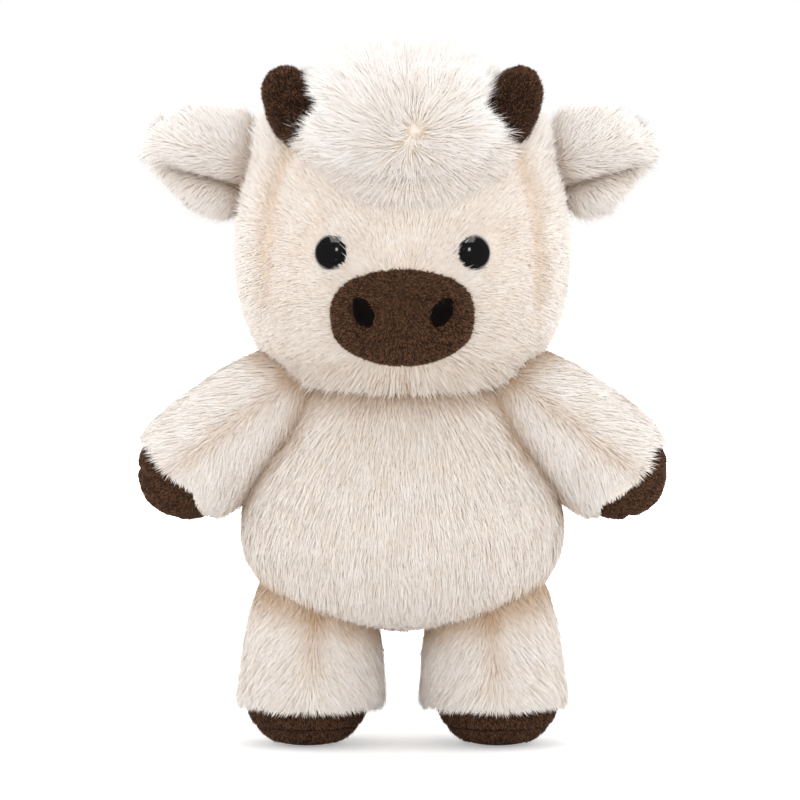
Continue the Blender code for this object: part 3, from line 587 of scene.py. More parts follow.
class PileTree:
    """The Geometry Nodes tree that grows strands on a skin and keeps the skin under them."""

    INPUTS = (
        ("Strand", "NodeSocketObject"), ("Material", "NodeSocketMaterial"), ("Density", "NodeSocketFloat"),
        ("Width", "NodeSocketFloat"), ("Splay", "NodeSocketFloat"), ("Clump Size", "NodeSocketFloat"),
        ("Clump", "NodeSocketFloat"), ("Stray", "NodeSocketFloat"), ("Tone Spread", "NodeSocketFloat"),
        ("Root Sink", "NodeSocketFloat"), ("Softness", "NodeSocketFloat"), ("Mottle", "NodeSocketFloat"),
        ("Seed", "NodeSocketInt"),
    )

    def __init__(self) -> None:
        """Builds the tree."""
        self.tree = bpy.data.node_groups.new("Grow pile", "GeometryNodeTree")
        self.tree.interface.new_socket("Skin", in_out="INPUT", socket_type="NodeSocketGeometry")
        for name, kind in self.INPUTS:
            self.tree.interface.new_socket(name, in_out="INPUT", socket_type=kind)
        self.tree.interface.new_socket("Piece", in_out="OUTPUT", socket_type="NodeSocketGeometry")
        self.given = self._node("NodeGroupInput")
        self._build()
        self.strand = self._new_strand()

    def _node(self, kind: str, **settings: object) -> bpy.types.Node:
        """Adds a node.

        Args:
            kind: The node's type.
            settings: Its properties by name.

        Returns:
            The node.
        """
        node = self.tree.nodes.new(kind)
        for name, value in settings.items():
            setattr(node, name, value)
        return node

    def _link(self, source: Socket, target: Socket) -> None:
        """Joins two sockets."""
        self.tree.links.new(source, target)

    def _read(self, name: str, kind: str) -> Socket:
        """Reads a named attribute of the skin.

        Args:
            name: The attribute.
            kind: Its data type.

        Returns:
            The socket that carries it.
        """
        node = self._node("GeometryNodeInputNamedAttribute", data_type=kind)
        node.inputs["Name"].default_value = name
        return node.outputs["Attribute"]

    def _math(self, operation: str, *parts: object) -> Socket:
        """Works on numbers.

        Args:
            operation: The operation's name.
            parts: Sockets or numbers.

        Returns:
            The result.
        """
        node = self._node("ShaderNodeMath", operation=operation)
        for index, part in enumerate(parts):
            if isinstance(part, (int, float)):
                node.inputs[index].default_value = part
            else:
                self._link(part, node.inputs[index])
        return node.outputs[0]

    def _vector(self, operation: str, *parts: object) -> Socket:
        """Works on vectors.

        Args:
            operation: The operation's name. SCALE takes a vector and a number.
            parts: Sockets, numbers or triples.

        Returns:
            The result.
        """
        node = self._node("ShaderNodeVectorMath", operation=operation)
        sockets = [node.inputs[0], node.inputs["Scale"] if operation == "SCALE" else node.inputs[1]]
        for socket, part in zip(sockets, parts):
            if isinstance(part, (int, float, tuple)):
                socket.default_value = part
            else:
                self._link(part, socket)
        return node.outputs[0]

    def _chance(self, low: object, high: object, offset: int) -> Socket:
        """Gives each strand its own random number or vector.

        Args:
            low: The lowest number, or triple.
            high: The highest, of the same kind.
            offset: Added to the seed, so that each use differs.

        Returns:
            The socket.
        """
        if isinstance(low, tuple):
            node = self._node("FunctionNodeRandomValue", data_type="FLOAT_VECTOR")
            node.inputs[0].default_value, node.inputs[1].default_value = low, high
            out = node.outputs[0]
        else:
            node = self._node("FunctionNodeRandomValue", data_type="FLOAT")
            node.inputs[2].default_value, node.inputs[3].default_value = low, high
            out = node.outputs[1]
        self._link(self._math("ADD", self.given.outputs["Seed"], offset), node.inputs["Seed"])
        return out

    def _build(self) -> None:
        """Lays out the nodes: scatter, comb, instance, realize, map and material."""
        given = self.given.outputs
        scatter = self._node("GeometryNodeDistributePointsOnFaces", distribute_method="RANDOM")
        self._link(given["Skin"], scatter.inputs["Mesh"])
        self._link(self._read("pile_on", "BOOLEAN"), scatter.inputs["Selection"])
        self._link(self._math("MULTIPLY", given["Density"], self._read("pile_thick", "FLOAT")),
                   scatter.inputs["Density"])
        self._link(given["Seed"], scatter.inputs["Seed"])

        upright = self._read("pile_grow", "FLOAT_VECTOR")
        comb = self._read("pile_comb", "FLOAT_VECTOR")
        place = self._node("GeometryNodeInputPosition").outputs[0]
        clumps = self._node("ShaderNodeTexNoise", noise_dimensions="3D")
        self._link(self._vector("SCALE", place, self._math("DIVIDE", 1.0, given["Clump Size"])),
                   clumps.inputs["Vector"])
        clumps.inputs["Scale"].default_value = 1.0
        clumps.inputs["Detail"].default_value = 1.5
        clumped = self._vector("SCALE", self._vector("SUBTRACT", clumps.outputs["Color"], (0.5, 0.5, 0.5)),
                               self._math("MULTIPLY", given["Clump"], 2.0))
        splayed = self._vector("SCALE", self._chance((-1.0,) * 3, (1.0,) * 3, 1), given["Splay"])
        # a few strays stand up out of the combed pile
        lifts = self._math("POWER", self._chance(0.0, 1.0, 2), 4.0)
        lean = self._math("MULTIPLY", self._read("pile_lean", "FLOAT"),
                          self._math("SUBTRACT", 1.0, self._math("MULTIPLY", lifts, given["Stray"])))
        root = self._vector("ADD", upright, self._vector("SCALE", comb, lean))
        root = self._vector("ADD", root, self._vector("ADD", clumped, splayed))
        root = self._vector("NORMALIZE", root)
        across = self._vector("ADD", comb, self._vector("SCALE", clumped, 0.6))
        across = self._vector("ADD", across,
                              self._vector("SCALE", self._chance((-1.0,) * 3, (1.0,) * 3, 3), 0.2))
        turn = self._node("FunctionNodeAxesToRotation", primary_axis="Z", secondary_axis="Y")
        self._link(root, turn.inputs[0])
        self._link(across, turn.inputs[1])

        length = self._math("MULTIPLY", self._read("pile_length", "FLOAT"), self._chance(0.6, 1.25, 4))
        slim = self._math("SUBTRACT", 1.0, self._math("MULTIPLY", lifts, 0.5))
        width = self._math("MULTIPLY", self._math("MULTIPLY", given["Width"], slim),
                           self._chance(0.7, 1.25, 5))
        droop = self._math("MULTIPLY", self._math("MULTIPLY", length, self._read("pile_droop", "FLOAT")),
                           self._chance(0.6, 1.3, 6))
        scale = self._node("ShaderNodeCombineXYZ")
        for socket, part in zip(scale.inputs, (width, droop, length)):
            self._link(part, socket)
        # each strand's tone: the lay's painted shade and light, plus random tone per strand and per clump
        tone = self._math("ADD", self._read("pile_tone", "FLOAT"),
                          self._math("MULTIPLY", self._chance(-1.0, 1.0, 7), given["Tone Spread"]))
        mottle = self._math("MULTIPLY", self._math("SUBTRACT", clumps.outputs[0], 0.5), given["Mottle"])
        tone = self._math("MINIMUM", self._math("MAXIMUM", self._math("ADD", tone, mottle), 0.01), 0.98)

        toned = self._node("GeometryNodeStoreNamedAttribute", data_type="FLOAT", domain="POINT")
        self._link(scatter.outputs["Points"], toned.inputs["Geometry"])
        toned.inputs["Name"].default_value = "strand_tone"
        self._link(tone, toned.inputs["Value"])
        sunk = self._node("GeometryNodeSetPosition")
        self._link(toned.outputs[0], sunk.inputs["Geometry"])
        self._link(self._vector("SCALE", upright, self._math("MULTIPLY", given["Root Sink"], -1.0)),
                   sunk.inputs["Offset"])

        strand = self._node("GeometryNodeObjectInfo", transform_space="ORIGINAL")
        self._link(given["Strand"], strand.inputs["Object"])
        planted = self._node("GeometryNodeInstanceOnPoints")
        self._link(sunk.outputs[0], planted.inputs["Points"])
        self._link(strand.outputs["Geometry"], planted.inputs["Instance"])
        self._link(turn.outputs[0], planted.inputs["Rotation"])
        self._link(scale.outputs[0], planted.inputs["Scale"])
        real = self._node("GeometryNodeRealizeInstances")
        self._link(planted.outputs[0], real.inputs[0])

        strand_map = self._node("ShaderNodeCombineXYZ")
        self._link(self._math("ADD", self._read("strand_tone", "FLOAT"),
                              self._math("MULTIPLY", self._read("strand_across", "FLOAT"), 0.012)),
                   strand_map.inputs[0])
        self._link(self._math("MULTIPLY_ADD", self._read("strand_along", "FLOAT"), 0.95, 0.04),
                   strand_map.inputs[1])
        strands = self._mapped(real.outputs[0], strand_map.outputs[0])

        spot = self._node("ShaderNodeSeparateXYZ")
        self._link(place, spot.inputs[0])
        # the skin under the strands takes the lay's tone too, painted shade included
        skin_tone = self._math("MINIMUM", self._math("MAXIMUM", self._read("pile_tone", "FLOAT"), 0.1), 0.9)
        skin_map = self._node("ShaderNodeCombineXYZ")
        self._link(self._math("MULTIPLY_ADD", spot.outputs["X"], 0.4, skin_tone), skin_map.inputs[0])
        self._link(self._math("MULTIPLY_ADD", spot.outputs["Z"], 0.09, 0.4), skin_map.inputs[1])
        skin = self._mapped(given["Skin"], skin_map.outputs[0])

        joined = self._node("GeometryNodeJoinGeometry")
        self._link(strands, joined.inputs[0])
        self._link(skin, joined.inputs[0])
        smooth = self._node("GeometryNodeSetShadeSmooth")
        self._link(joined.outputs[0], smooth.inputs["Geometry"])
        # strands take the light as the form below them does, which keeps combed pile soft
        natural = self._node("GeometryNodeInputNormal").outputs[0]
        facing = self._node("ShaderNodeMapRange")
        facing.inputs["From Min"].default_value, facing.inputs["From Max"].default_value = 0.1, 0.6
        self._link(given["Softness"], facing.inputs["To Max"])
        dot = self._node("ShaderNodeVectorMath", operation="DOT_PRODUCT")
        self._link(natural, dot.inputs[0])
        self._link(upright, dot.inputs[1])
        self._link(dot.outputs["Value"], facing.inputs["Value"])
        share = facing.outputs["Result"]
        soft = self._vector("ADD", self._vector("SCALE", natural, self._math("SUBTRACT", 1.0, share)),
                            self._vector("SCALE", upright, share))
        lit = self._node("GeometryNodeSetMeshNormal", mode="FREE", domain="POINT")
        self._link(smooth.outputs[0], lit.inputs["Mesh"])
        self._link(self._vector("NORMALIZE", soft), lit.inputs["Custom Normal"])
        dressed = self._node("GeometryNodeSetMaterial")
        self._link(lit.outputs[0], dressed.inputs["Geometry"])
        self._link(given["Material"], dressed.inputs["Material"])
        self._link(dressed.outputs[0], self._node("NodeGroupOutput").inputs["Piece"])

    def _mapped(self, geometry: Socket, value: Socket) -> Socket:
        """Stores the bake map on a geometry.

        Args:
            geometry: The geometry's socket.
            value: The map's socket.

        Returns:
            The geometry with its map.
        """
        store = self._node("GeometryNodeStoreNamedAttribute", data_type="FLOAT2", domain="CORNER")
        store.inputs["Name"].default_value = BAKE_MAP
        self._link(geometry, store.inputs["Geometry"])
        self._link(value, store.inputs["Value"])
        return store.outputs[0]

    def _new_strand(self) -> bpy.types.Object:
        """Makes one strand: a blade a unit long and wide that bends over towards +Y, pointed at both ends.

        Returns:
            The strand's object, which no collection holds.
        """
        rows = ((0.0, 0.0), (0.42, 1.0), (1.0, 0.0))
        points, along, across = [], [], []
        for where, wide in rows:
            height, over = where * (1 - 0.12 * where ** 2), 0.52 * where ** 2
            for edge in ((-0.5, 0.5) if wide else (0.0,)):
                points.append((edge * wide, over, height))
                along.append(where)
                across.append(edge)
        mesh = bpy.data.meshes.new("Strand")
        mesh.from_pydata(points, [], [(0, 2, 1), (1, 2, 3)])
        for name, values in (("strand_along", along), ("strand_across", across)):
            mesh.attributes.new(name, "FLOAT", "POINT").data.foreach_set("value", values)
        return bpy.data.objects.new("Strand", mesh)

    def grow(self, skin: bpy.types.Object, cloth: PileCloth, seed: int) -> bpy.types.Mesh:
        """Grows a cloth's pile on a skin.

        Args:
            skin: The object whose mesh carries the lay as attributes.
            cloth: The cloth.
            seed: Fixes everything random.

        Returns:
            The plain mesh of the skin and its strands.
        """
        values = {
            "Strand": self.strand, "Material": material_of(cloth.finish), "Density": cloth.density,
            "Width": cloth.width, "Splay": cloth.splay, "Clump Size": cloth.clump_size, "Clump": cloth.clump,
            "Stray": cloth.stray, "Tone Spread": cloth.tone_spread, "Root Sink": cloth.root_sink,
            "Softness": cloth.softness, "Mottle": cloth.mottle, "Seed": seed,
        }
        modifier = skin.modifiers.new("Grow pile", "NODES")
        modifier.node_group = self.tree
        for item in self.tree.interface.items_tree:
            if item.in_out == "INPUT" and item.name in values:
                modifier[item.identifier] = values[item.name]
        skin.update_tag()
        depsgraph = bpy.context.evaluated_depsgraph_get()
        grown = bpy.data.meshes.new_from_object(skin.evaluated_get(depsgraph), preserve_all_data_layers=True,
                                                depsgraph=depsgraph)
        skin.modifiers.remove(modifier)
        for attribute in [a.name for a in grown.attributes if a.name.startswith(("pile_", "strand_"))]:
            grown.attributes.remove(grown.attributes[attribute])
        return grown


MATERIALS: dict[str, bpy.types.Material] = {}


def material_of(finish: object) -> bpy.types.Material:
    """Gives a finish's material, and makes it the first time."""
    if finish.name not in MATERIALS:
        MATERIALS[finish.name] = finish.material()
    return MATERIALS[finish.name]


@dataclass
class Skin:
    """A fine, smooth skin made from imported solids, with a lay for its pile."""

    PASSES = 6
    PULL = 5
    FACES_OUT = 0.3
    TONES = (0.02, 0.97)
    LEAST_THICK = 0.02

    nodes: tuple[str, ...]
    form: StuffedForm
    fineness: float = 0.0032
    near: float = 0.03

    def __post_init__(self) -> None:
        """Copies the solids, divides their outer faces and pulls them onto the smooth form."""
        mesh = bmesh.new()
        for name in self.nodes:
            mesh.from_mesh(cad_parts[name].data)
        bmesh.ops.remove_doubles(mesh, verts=mesh.verts, dist=MERGE)
        outer = mesh.verts.layers.int.new("outer")
        mesh.verts.index_update()
        for vert, gap in zip(mesh.verts, self._gap(np.array([vert.co for vert in mesh.verts]))):
            vert[outer] = int(gap < self.near)
        for _ in range(self.PASSES):
            long = [edge for edge in mesh.edges
                    if edge.calc_length() > self.fineness and all(vert[outer] for vert in edge.verts)]
            if not long:
                break
            known = len(mesh.verts)
            split_long(mesh, long)
            mesh.verts.ensure_lookup_table()
            added = [vert for vert in mesh.verts if vert.index < 0 or vert.index >= known]
            self._pull(added, outer)
            triangles_only(mesh)
        flags = np.array([vert[outer] for vert in mesh.verts], bool)
        self.mesh = bpy.data.meshes.new("skin")
        mesh.to_mesh(self.mesh)
        mesh.free()
        self._settle(flags)

    def _pull(self, added: list[bmesh.types.BMVert], outer: bmesh.types.BMLayerItem) -> None:
        """Marks the new points and pulls those near the form's skin onto it.

        Args:
            added: Points in the middle of edges that lie on the skin.
            outer: The layer that marks points of the skin.
        """
        points = np.array([vert.co for vert in added])
        mine = np.flatnonzero(self._gap(points) < self.near * self.PULL)
        for row, place in zip(mine, self.form.snapped(points[mine]) if len(mine) else ()):
            added[row].co = place
            added[row][outer] = 1

    def _gap(self, points: np.ndarray) -> np.ndarray:
        """Gives how far each point's level is from the 1 of the form's skin."""
        return np.abs(self.form.level(points) - 1)

    def _settle(self, flags: np.ndarray) -> None:
        """Finds the faces that show, and moves their points onto the smooth form.

        Args:
            flags: Which points lie on the form's skin.
        """
        self.points = rows(self.mesh.vertices, "co")
        self.normals = self.form.outward(self.points)
        self.faces = rows(self.mesh.polygons, "vertices", int)
        near = (self._gap(self.points)[self.faces] < self.near).all(axis=1)
        ahead = self.normals[self.faces].mean(axis=1)
        level_with = np.sum(rows(self.mesh.polygons, "normal") * ahead, axis=1) > self.FACES_OUT
        self.showing = flags[self.faces].all(axis=1) & near & level_with
        self.shown = np.zeros(len(self.points), bool)
        self.shown[self.faces[self.showing].ravel()] = True
        self.points[self.shown] = self.form.snapped(self.points)[self.shown]
        self.write_points()

    def write_points(self) -> None:
        """Puts the points back in the mesh."""
        self.mesh.vertices.foreach_set("co", self.points.ravel())
        self.mesh.update()

    def press(self, depth: Amount) -> None:
        """Presses the shown points in along their normals.

        Args:
            depth: How far each point goes in, or all of them.
        """
        deep = np.broadcast_to(depth, len(self.points))[:, None]
        self.points[self.shown] -= (self.normals * deep)[self.shown]
        self.write_points()

    def shape(self, points: np.ndarray) -> None:
        """Takes new points and reads the skin's normals from them."""
        self.points = points
        self.write_points()
        self.normals = rows(self.mesh.vertices, "normal")

    def lay_pile(self, lay: PileLay) -> None:
        """Stores how the pile lies, as the attributes that the pile tree reads.

        Args:
            lay: How it lies on this skin.
        """
        def put(name: str, kind: str, key: str, values: np.ndarray, domain: str = "POINT") -> None:
            """Writes one attribute."""
            attribute = self.mesh.attributes.new("pile_" + name, kind, domain)
            attribute.data.foreach_set(key, np.ascontiguousarray(values).ravel())

        lay.comb = along_skin(np.broadcast_to(lay.comb, self.points.shape), self.normals)
        lay.thick = np.broadcast_to(lay.thick, len(self.points))
        lay.tone = np.clip(lay.tone, *self.TONES)
        put("grow", "FLOAT_VECTOR", "vector", self.normals.astype(np.float32))
        put("comb", "FLOAT_VECTOR", "vector", lay.comb.astype(np.float32))
        for name in ("lean", "droop", "length", "tone", "thick"):
            values = np.broadcast_to(getattr(lay, name), len(self.points))
            put(name, "FLOAT", "value", values.astype(np.float32))
        # a face bears pile where it shows and isn't under another piece
        bears = self.showing & (lay.thick[self.faces].max(axis=1) > self.LEAST_THICK)
        put("on", "BOOLEAN", "value", bears, "FACE")


class BallSkin(Skin):
    """A skin that is one whole form, for a piece that scene.py shapes further than its solid."""

    def __init__(self, nodes: tuple[str, ...], form: StuffedForm, divisions: int) -> None:
        """Stretches a ball to the form.

        Args:
            nodes: The solids that the piece stands for.
            form: The form.
            divisions: How often the ball's faces are divided.
        """
        self.nodes = nodes
        ball = bmesh.new()
        bmesh.ops.create_icosphere(ball, subdivisions=divisions, radius=1)
        ball.faces.ensure_lookup_table()
        self.mesh = bpy.data.meshes.new("skin")
        self.faces = np.array([[vert.index for vert in face.verts] for face in ball.faces])
        self.ball = np.array([vert.co for vert in ball.verts])
        ball.to_mesh(self.mesh)
        ball.free()
        self.shown = np.ones(len(self.ball), bool)
        self.showing = np.ones(len(self.faces), bool)
        self.shape(form.skin(self.ball))


def clear_of(points: np.ndarray, forms: list[StuffedForm], margin: float = 0.0) -> np.ndarray:
    """Tells where a skin is clear of the forms that cover it.

    Args:
        points: Places on the skin.
        forms: The forms that stand on it.
        margin: How far into a form the pile still grows.

    Returns:
        1 where it is clear and 0 where it is covered.
    """
    thick = np.ones(len(points))
    for form in forms:
        thick *= form.distance(points) > -margin
    return thick


def crease(points: np.ndarray, forms: list[StuffedForm], reach: float) -> np.ndarray:
    """Gives 0 where the skin meets another form, rising to 1 a reach away."""
    opened = np.ones(len(points))
    for form in forms:
        opened *= ease(form.distance(points), -0.001, reach)
    return opened


def fanned(points: np.ndarray, form: StuffedForm, ahead: float,
           line_at: float = 0.0) -> tuple[np.ndarray, np.ndarray]:
    """Combs pile away from a limb's middle line and towards its end.

    Args:
        points: Places on the limb's skin.
        form: The limb's form.
        ahead: 1 if the limb ends at the top of its form, or -1.
        line_at: Where the line runs across the form.

    Returns:
        The comb, and how near each place is to the line in front.
    """
    spread, turn_width, line_width = 0.95, 0.0025, 0.0024
    spot = form.local(points)
    off = spot[:, :1] - line_at
    aside = off / (np.abs(off) + turn_width)
    line = bell(off[:, 0], line_width) * (spot[:, 1] < 0)
    return form.tip * ahead + spread * aside * form.turn[:, 0], line


def leaning(side: Side, spread: float, forward: float, height: float, lean_deg: float) -> Matrix:
    """Places the form of a paired piece.

    Args:
        side: Which of the two.
        spread: How far it is from the toy's middle.
        forward: How far forward it is.
        height: How high it is.
        lean_deg: How far its top leans outward.

    Returns:
        The place, turned.
    """
    turn = Matrix.Rotation(math.radians(lean_deg) * side.value, 4, "Y")
    return Matrix.Translation((side.value * spread, BACK_SHIFT - forward, height)) @ turn


def dress(name: str, skin: Skin, cloth: PileCloth, tree: PileTree, body: str, seed: int,
          replaces: tuple[str, ...] | None = None) -> None:
    """Grows a skin's pile and puts the piece on its body.

    Args:
        name: The piece's name.
        skin: The skin, with its lay stored.
        cloth: Its cloth.
        tree: The pile tree.
        body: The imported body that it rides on.
        seed: Fixes everything random.
        replaces: The solids that it stands for, when not those that the skin came from.
    """
    skin.press(-cloth.loft)
    worker = placed(name + "_skin", skin.mesh)
    grown = tree.grow(worker, cloth, seed)
    bpy.data.objects.remove(worker)
    grown.name = name
    piece = placed(name, grown)
    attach(piece, body)
    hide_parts(*(skin.nodes if replaces is None else replaces))
    LOG.info("%s: %d faces", name, len(grown.polygons))


@dataclass
class Torso:
    """The body: a pear form, combed in a fan from below the chin."""

    middle_height: float = 0.1055
    half_height: float = 0.0555
    half_width: float = 0.064
    half_depth: float = 0.050
    width_shares: Shares = (1.28, 1.25, 1.10, 0.97, 0.90, 1.12, 1.20)
    depth_shares: Shares = (1.22, 1.20, 1.08, 0.98, 0.90, 1.08, 1.15)
    lean_shares: Shares = (0.00, -0.03, -0.06, -0.04, 0.00, 0.02, 0.02)
    pile_length: float = 0.0105
    fan_height: float = 0.147

    def __post_init__(self) -> None:
        """Works out the form."""
        self.form = StuffedForm(Matrix.Translation((0, BACK_SHIFT, self.middle_height)), self.half_height,
                                self.half_width, self.half_depth, self.width_shares, self.depth_shares,
                                self.lean_shares)

    def lay(self, skin: Skin, over: list[StuffedForm], meets: list[StuffedForm]) -> PileLay:
        """Combs the pile outward and down from the chin.

        Args:
            skin: The body's skin.
            over: Forms that cover it.
            meets: Forms whose pile it presses on.

        Returns:
            The lay.
        """
        points = skin.points
        fan = unit(points - np.array((0, BACK_SHIFT, self.fan_height))) + np.array((0, 0, -0.03))
        opened = crease(points, meets, 0.014)
        ruffle = patches(points, 0.035, 1.0)
        below = 1 - ease(points[:, 2], 0.050, 0.064)
        return PileLay(
            comb=fan + 0.12 * swirl(points, 0.03, 1.0),
            lean=2.3 + 0.2 * ruffle,
            droop=0.75 + 0.15 * patches(points, 0.02, 2.0),
            length=self.pile_length * (0.72 + 0.28 * opened) * (1 + 0.1 * ruffle) * (1 - 0.35 * below),
            # painted shade: the pile is darker in the creases where the head, arms and legs meet the body
            tone=0.08 + 0.70 * opened + 0.07 * patches(points, 0.012, 3.0),
            thick=clear_of(points, over, 0.016))

    def build(self, tree: PileTree, over: list[StuffedForm], meets: list[StuffedForm]) -> None:
        """Makes the body's cover.

        Args:
            tree: The pile tree.
            over: Forms that cover it.
            meets: Forms whose pile it presses on.
        """
        skin = Skin(("torso_cover",), self.form)
        skin.lay_pile(self.lay(skin, over, meets))
        dress("torso_pile", skin, LONG_PILE, tree, "torso", 11)


@dataclass
class Head:
    """The head: short face pile between two side seams, longer pile outside them."""

    middle_height: float = 0.2125
    half_height: float = 0.066
    half_width: float = 0.065
    half_depth: float = 0.056
    width_shares: Shares = (1.36, 1.32, 1.11, 1.00, 1.03, 1.15, 1.20)
    depth_shares: Shares = (1.50, 1.45, 1.16, 1.02, 1.00, 1.12, 1.18)
    lean_shares: Shares = (0.00, 0.00, -0.07, -0.05, -0.02, 0.00, 0.00)
    face_pile: float = 0.0055
    cheek_pile: float = 0.0084
    back_pile: float = 0.0100
    fringe_pile: float = 0.0120
    fringe_points: tuple[tuple[float, float], ...] = ((0.0, 0.2285), (0.012, 0.2300), (0.024, 0.2345),
                                                     (0.034, 0.2410), (0.042, 0.2490), (0.050, 0.2600))
    seam_points: tuple[tuple[float, float], ...] = ((0.0405, 0.250), (0.0470, 0.237), (0.0510, 0.222),
                                                   (0.0525, 0.205), (0.0520, 0.190))
    seam_reach: float = 0.0035
    seam_depth: float = 0.0010
    chin_pile: float = 0.0150
    chin_seam_at: float = 0.001
    chin_seam_width: float = 0.0012
    jaw_lift: float = 0.0020
    chin_drop: float = 0.0022
    face_loft: float = 0.0006
    shoulder_lift: float = 0.0040

    def __post_init__(self) -> None:
        """Works out the form."""
        self.form = StuffedForm(Matrix.Translation((0, BACK_SHIFT, self.middle_height)), self.half_height,
                                self.half_width, self.half_depth, self.width_shares, self.depth_shares,
                                self.lean_shares)

    def seam_gap(self, points: np.ndarray) -> np.ndarray:
        """Gives how far each point's width is outside the side seam at its height, below 0 inside."""
        heights = [height for _, height in self.seam_points][::-1]
        widths = [width for width, _ in self.seam_points][::-1]
        return np.abs(points[:, 0]) - np.interp(points[:, 2], heights, widths)

    def lay(self, skin: Skin, over: list[StuffedForm], meets: list[StuffedForm],
            eyes: list[Vector]) -> PileLay:
        """Combs the pile away from the nose in front, and down behind.

        Args:
            skin: The head's skin.
            over: Forms that cover it.
            meets: Forms whose pile it presses on.
            eyes: The middles of the eyes.

        Returns:
            The lay.
        """
        points = skin.points
        behind = ease(points[:, 1], -0.005, 0.035)
        nose = np.array((0, self.form.front(0, NOSE_HEIGHT)[0].y, NOSE_HEIGHT))
        away = unit(points - nose) * np.array((1.0, 1.0, 0.8))
        cheek = ease(np.abs(points[:, 0]), 0.02, 0.05) * (1 - ease(points[:, 2], 0.20, 0.235))
        away[:, 2] -= 0.45 * cheek
        comb = away * (1 - behind)[:, None] + np.array((0, 0.1, -1.0)) * behind[:, None]
        in_front = 1 - ease(points[:, 1], -0.03, -0.012)
        high = ease(points[:, 2], 0.178, 0.195)
        gap = self.seam_gap(points)
        near_seam = bell(gap, self.seam_reach) * in_front * high
        outside = ease(gap, -0.002, 0.004)
        chin = (1 - ease(points[:, 2], 0.158, 0.166)) * in_front
        chin_seam = bell(points[:, 0] - self.chin_seam_at, self.chin_seam_width) * chin
        face = (1 - behind) * (1 - outside)
        fringe = self.fringe(points) * in_front
        opened = crease(points, meets, 0.010)
        length = self.back_pile * behind + (1 - behind) * (
            self.cheek_pile * outside + self.face_pile * (1 - outside))
        lift = self.jaw_lift * (1 - high) + (self.chin_pile - length - self.jaw_lift) * chin
        length = length + lift * face
        lean = 1.9 + 0.15 * patches(points, 0.03, 4.0) + 0.1 * face
        for eye in eyes:
            gone = points - np.array(eye)
            away_from_eye = np.linalg.norm(gone, axis=1)
            beside = 1 - ease(away_from_eye, 0.0085, 0.013)
            inward = ease(-gone[:, 0] * np.sign(eye.x), -0.002, 0.004)
            length = length * (1 - (0.42 - 0.45 * inward) * (1 - ease(away_from_eye, 0.008, 0.014)))
            lean = lean * (1 - 0.45 * beside * inward)
        length = length * (1 - fringe) + self.fringe_pile * fringe
        shoulder = ease(np.abs(points[:, 0]), 0.040, 0.050) * ease(points[:, 2], 0.236, 0.250)
        length = length + self.shoulder_lift * shoulder
        lean = lean * (1 - 0.45 * shoulder)
        comb = comb + np.sign(points[:, :1]) * np.array((1.0, 0, 0)) * (chin_seam * 0.3)[:, None]
        comb[:, 2] -= 0.5 * chin
        comb = comb + 0.12 * swirl(points, 0.025, 4.0)
        start = np.array(self.form.front(*WHORL)[0])
        hanging = unit(points - start) + 0.5 * swirl(points, 0.012, 7.0)
        comb = comb * (1 - fringe)[:, None] + hanging * fringe[:, None]
        ruffle = patches(points, 0.03, 4.0)
        # painted shade: darker in the creases where the head meets the body and the ears
        tone = 0.16 + 0.66 * opened - 0.10 * face + 0.06 * patches(points, 0.014, 5.0) + 0.04 * fringe
        return PileLay(
            comb=comb,
            lean=lean,
            droop=0.7 + 0.15 * patches(points, 0.018, 6.0),
            length=length * (1 - 0.25 * near_seam) * (1 + 0.1 * ruffle),
            # painted shade: darker in the grooves of the side seams and along the chin seam's parting
            tone=tone - 0.3 * near_seam - 0.5 * chin_seam,
            thick=clear_of(points, over, 0.0015))

    def fringe(self, points: np.ndarray) -> np.ndarray:
        """Gives 1 where the crown's pile hangs over the forehead, and 0 below its edge."""
        across, heights = zip(*self.fringe_points)
        edge = np.interp(np.abs(points[:, 0] - WHORL[0]), across, heights)
        return ease(points[:, 2] - edge, -0.001, 0.003)

    def build(self, tree: PileTree, over: list[StuffedForm], meets: list[StuffedForm],
              eyes: list[Vector]) -> None:
        """Makes the head's cover.

        Args:
            tree: The pile tree.
            over: Forms that cover it.
            meets: Forms whose pile it presses on.
            eyes: The middles of the eyes.
        """
        skin = Skin(("head_cover",), self.form, fineness=0.0026)
        gap = self.seam_gap(skin.points)
        in_front = (1 - ease(skin.points[:, 1], -0.03, -0.012)) * ease(skin.points[:, 2], 0.178, 0.195)
        skin.press(self.seam_depth * bell(gap, self.seam_reach) * in_front)
        face = (1 - ease(skin.points[:, 1], -0.03, -0.012)) * (1 - ease(gap, -0.004, 0.003))
        skin.press((LONG_PILE.loft - self.face_loft) * face)
        skin.press(-self.chin_drop * (1 - ease(skin.points[:, 2], 0.158, 0.166)) * face)
        for eye in eyes:
            away = np.linalg.norm(skin.points - np.array(eye), axis=1)
            skin.press(0.0004 * (1 - ease(away, 0.008, 0.018)))
        skin.lay_pile(self.lay(skin, over, meets, eyes))
        dress("head_pile", skin, LONG_PILE, tree, "head", 21)


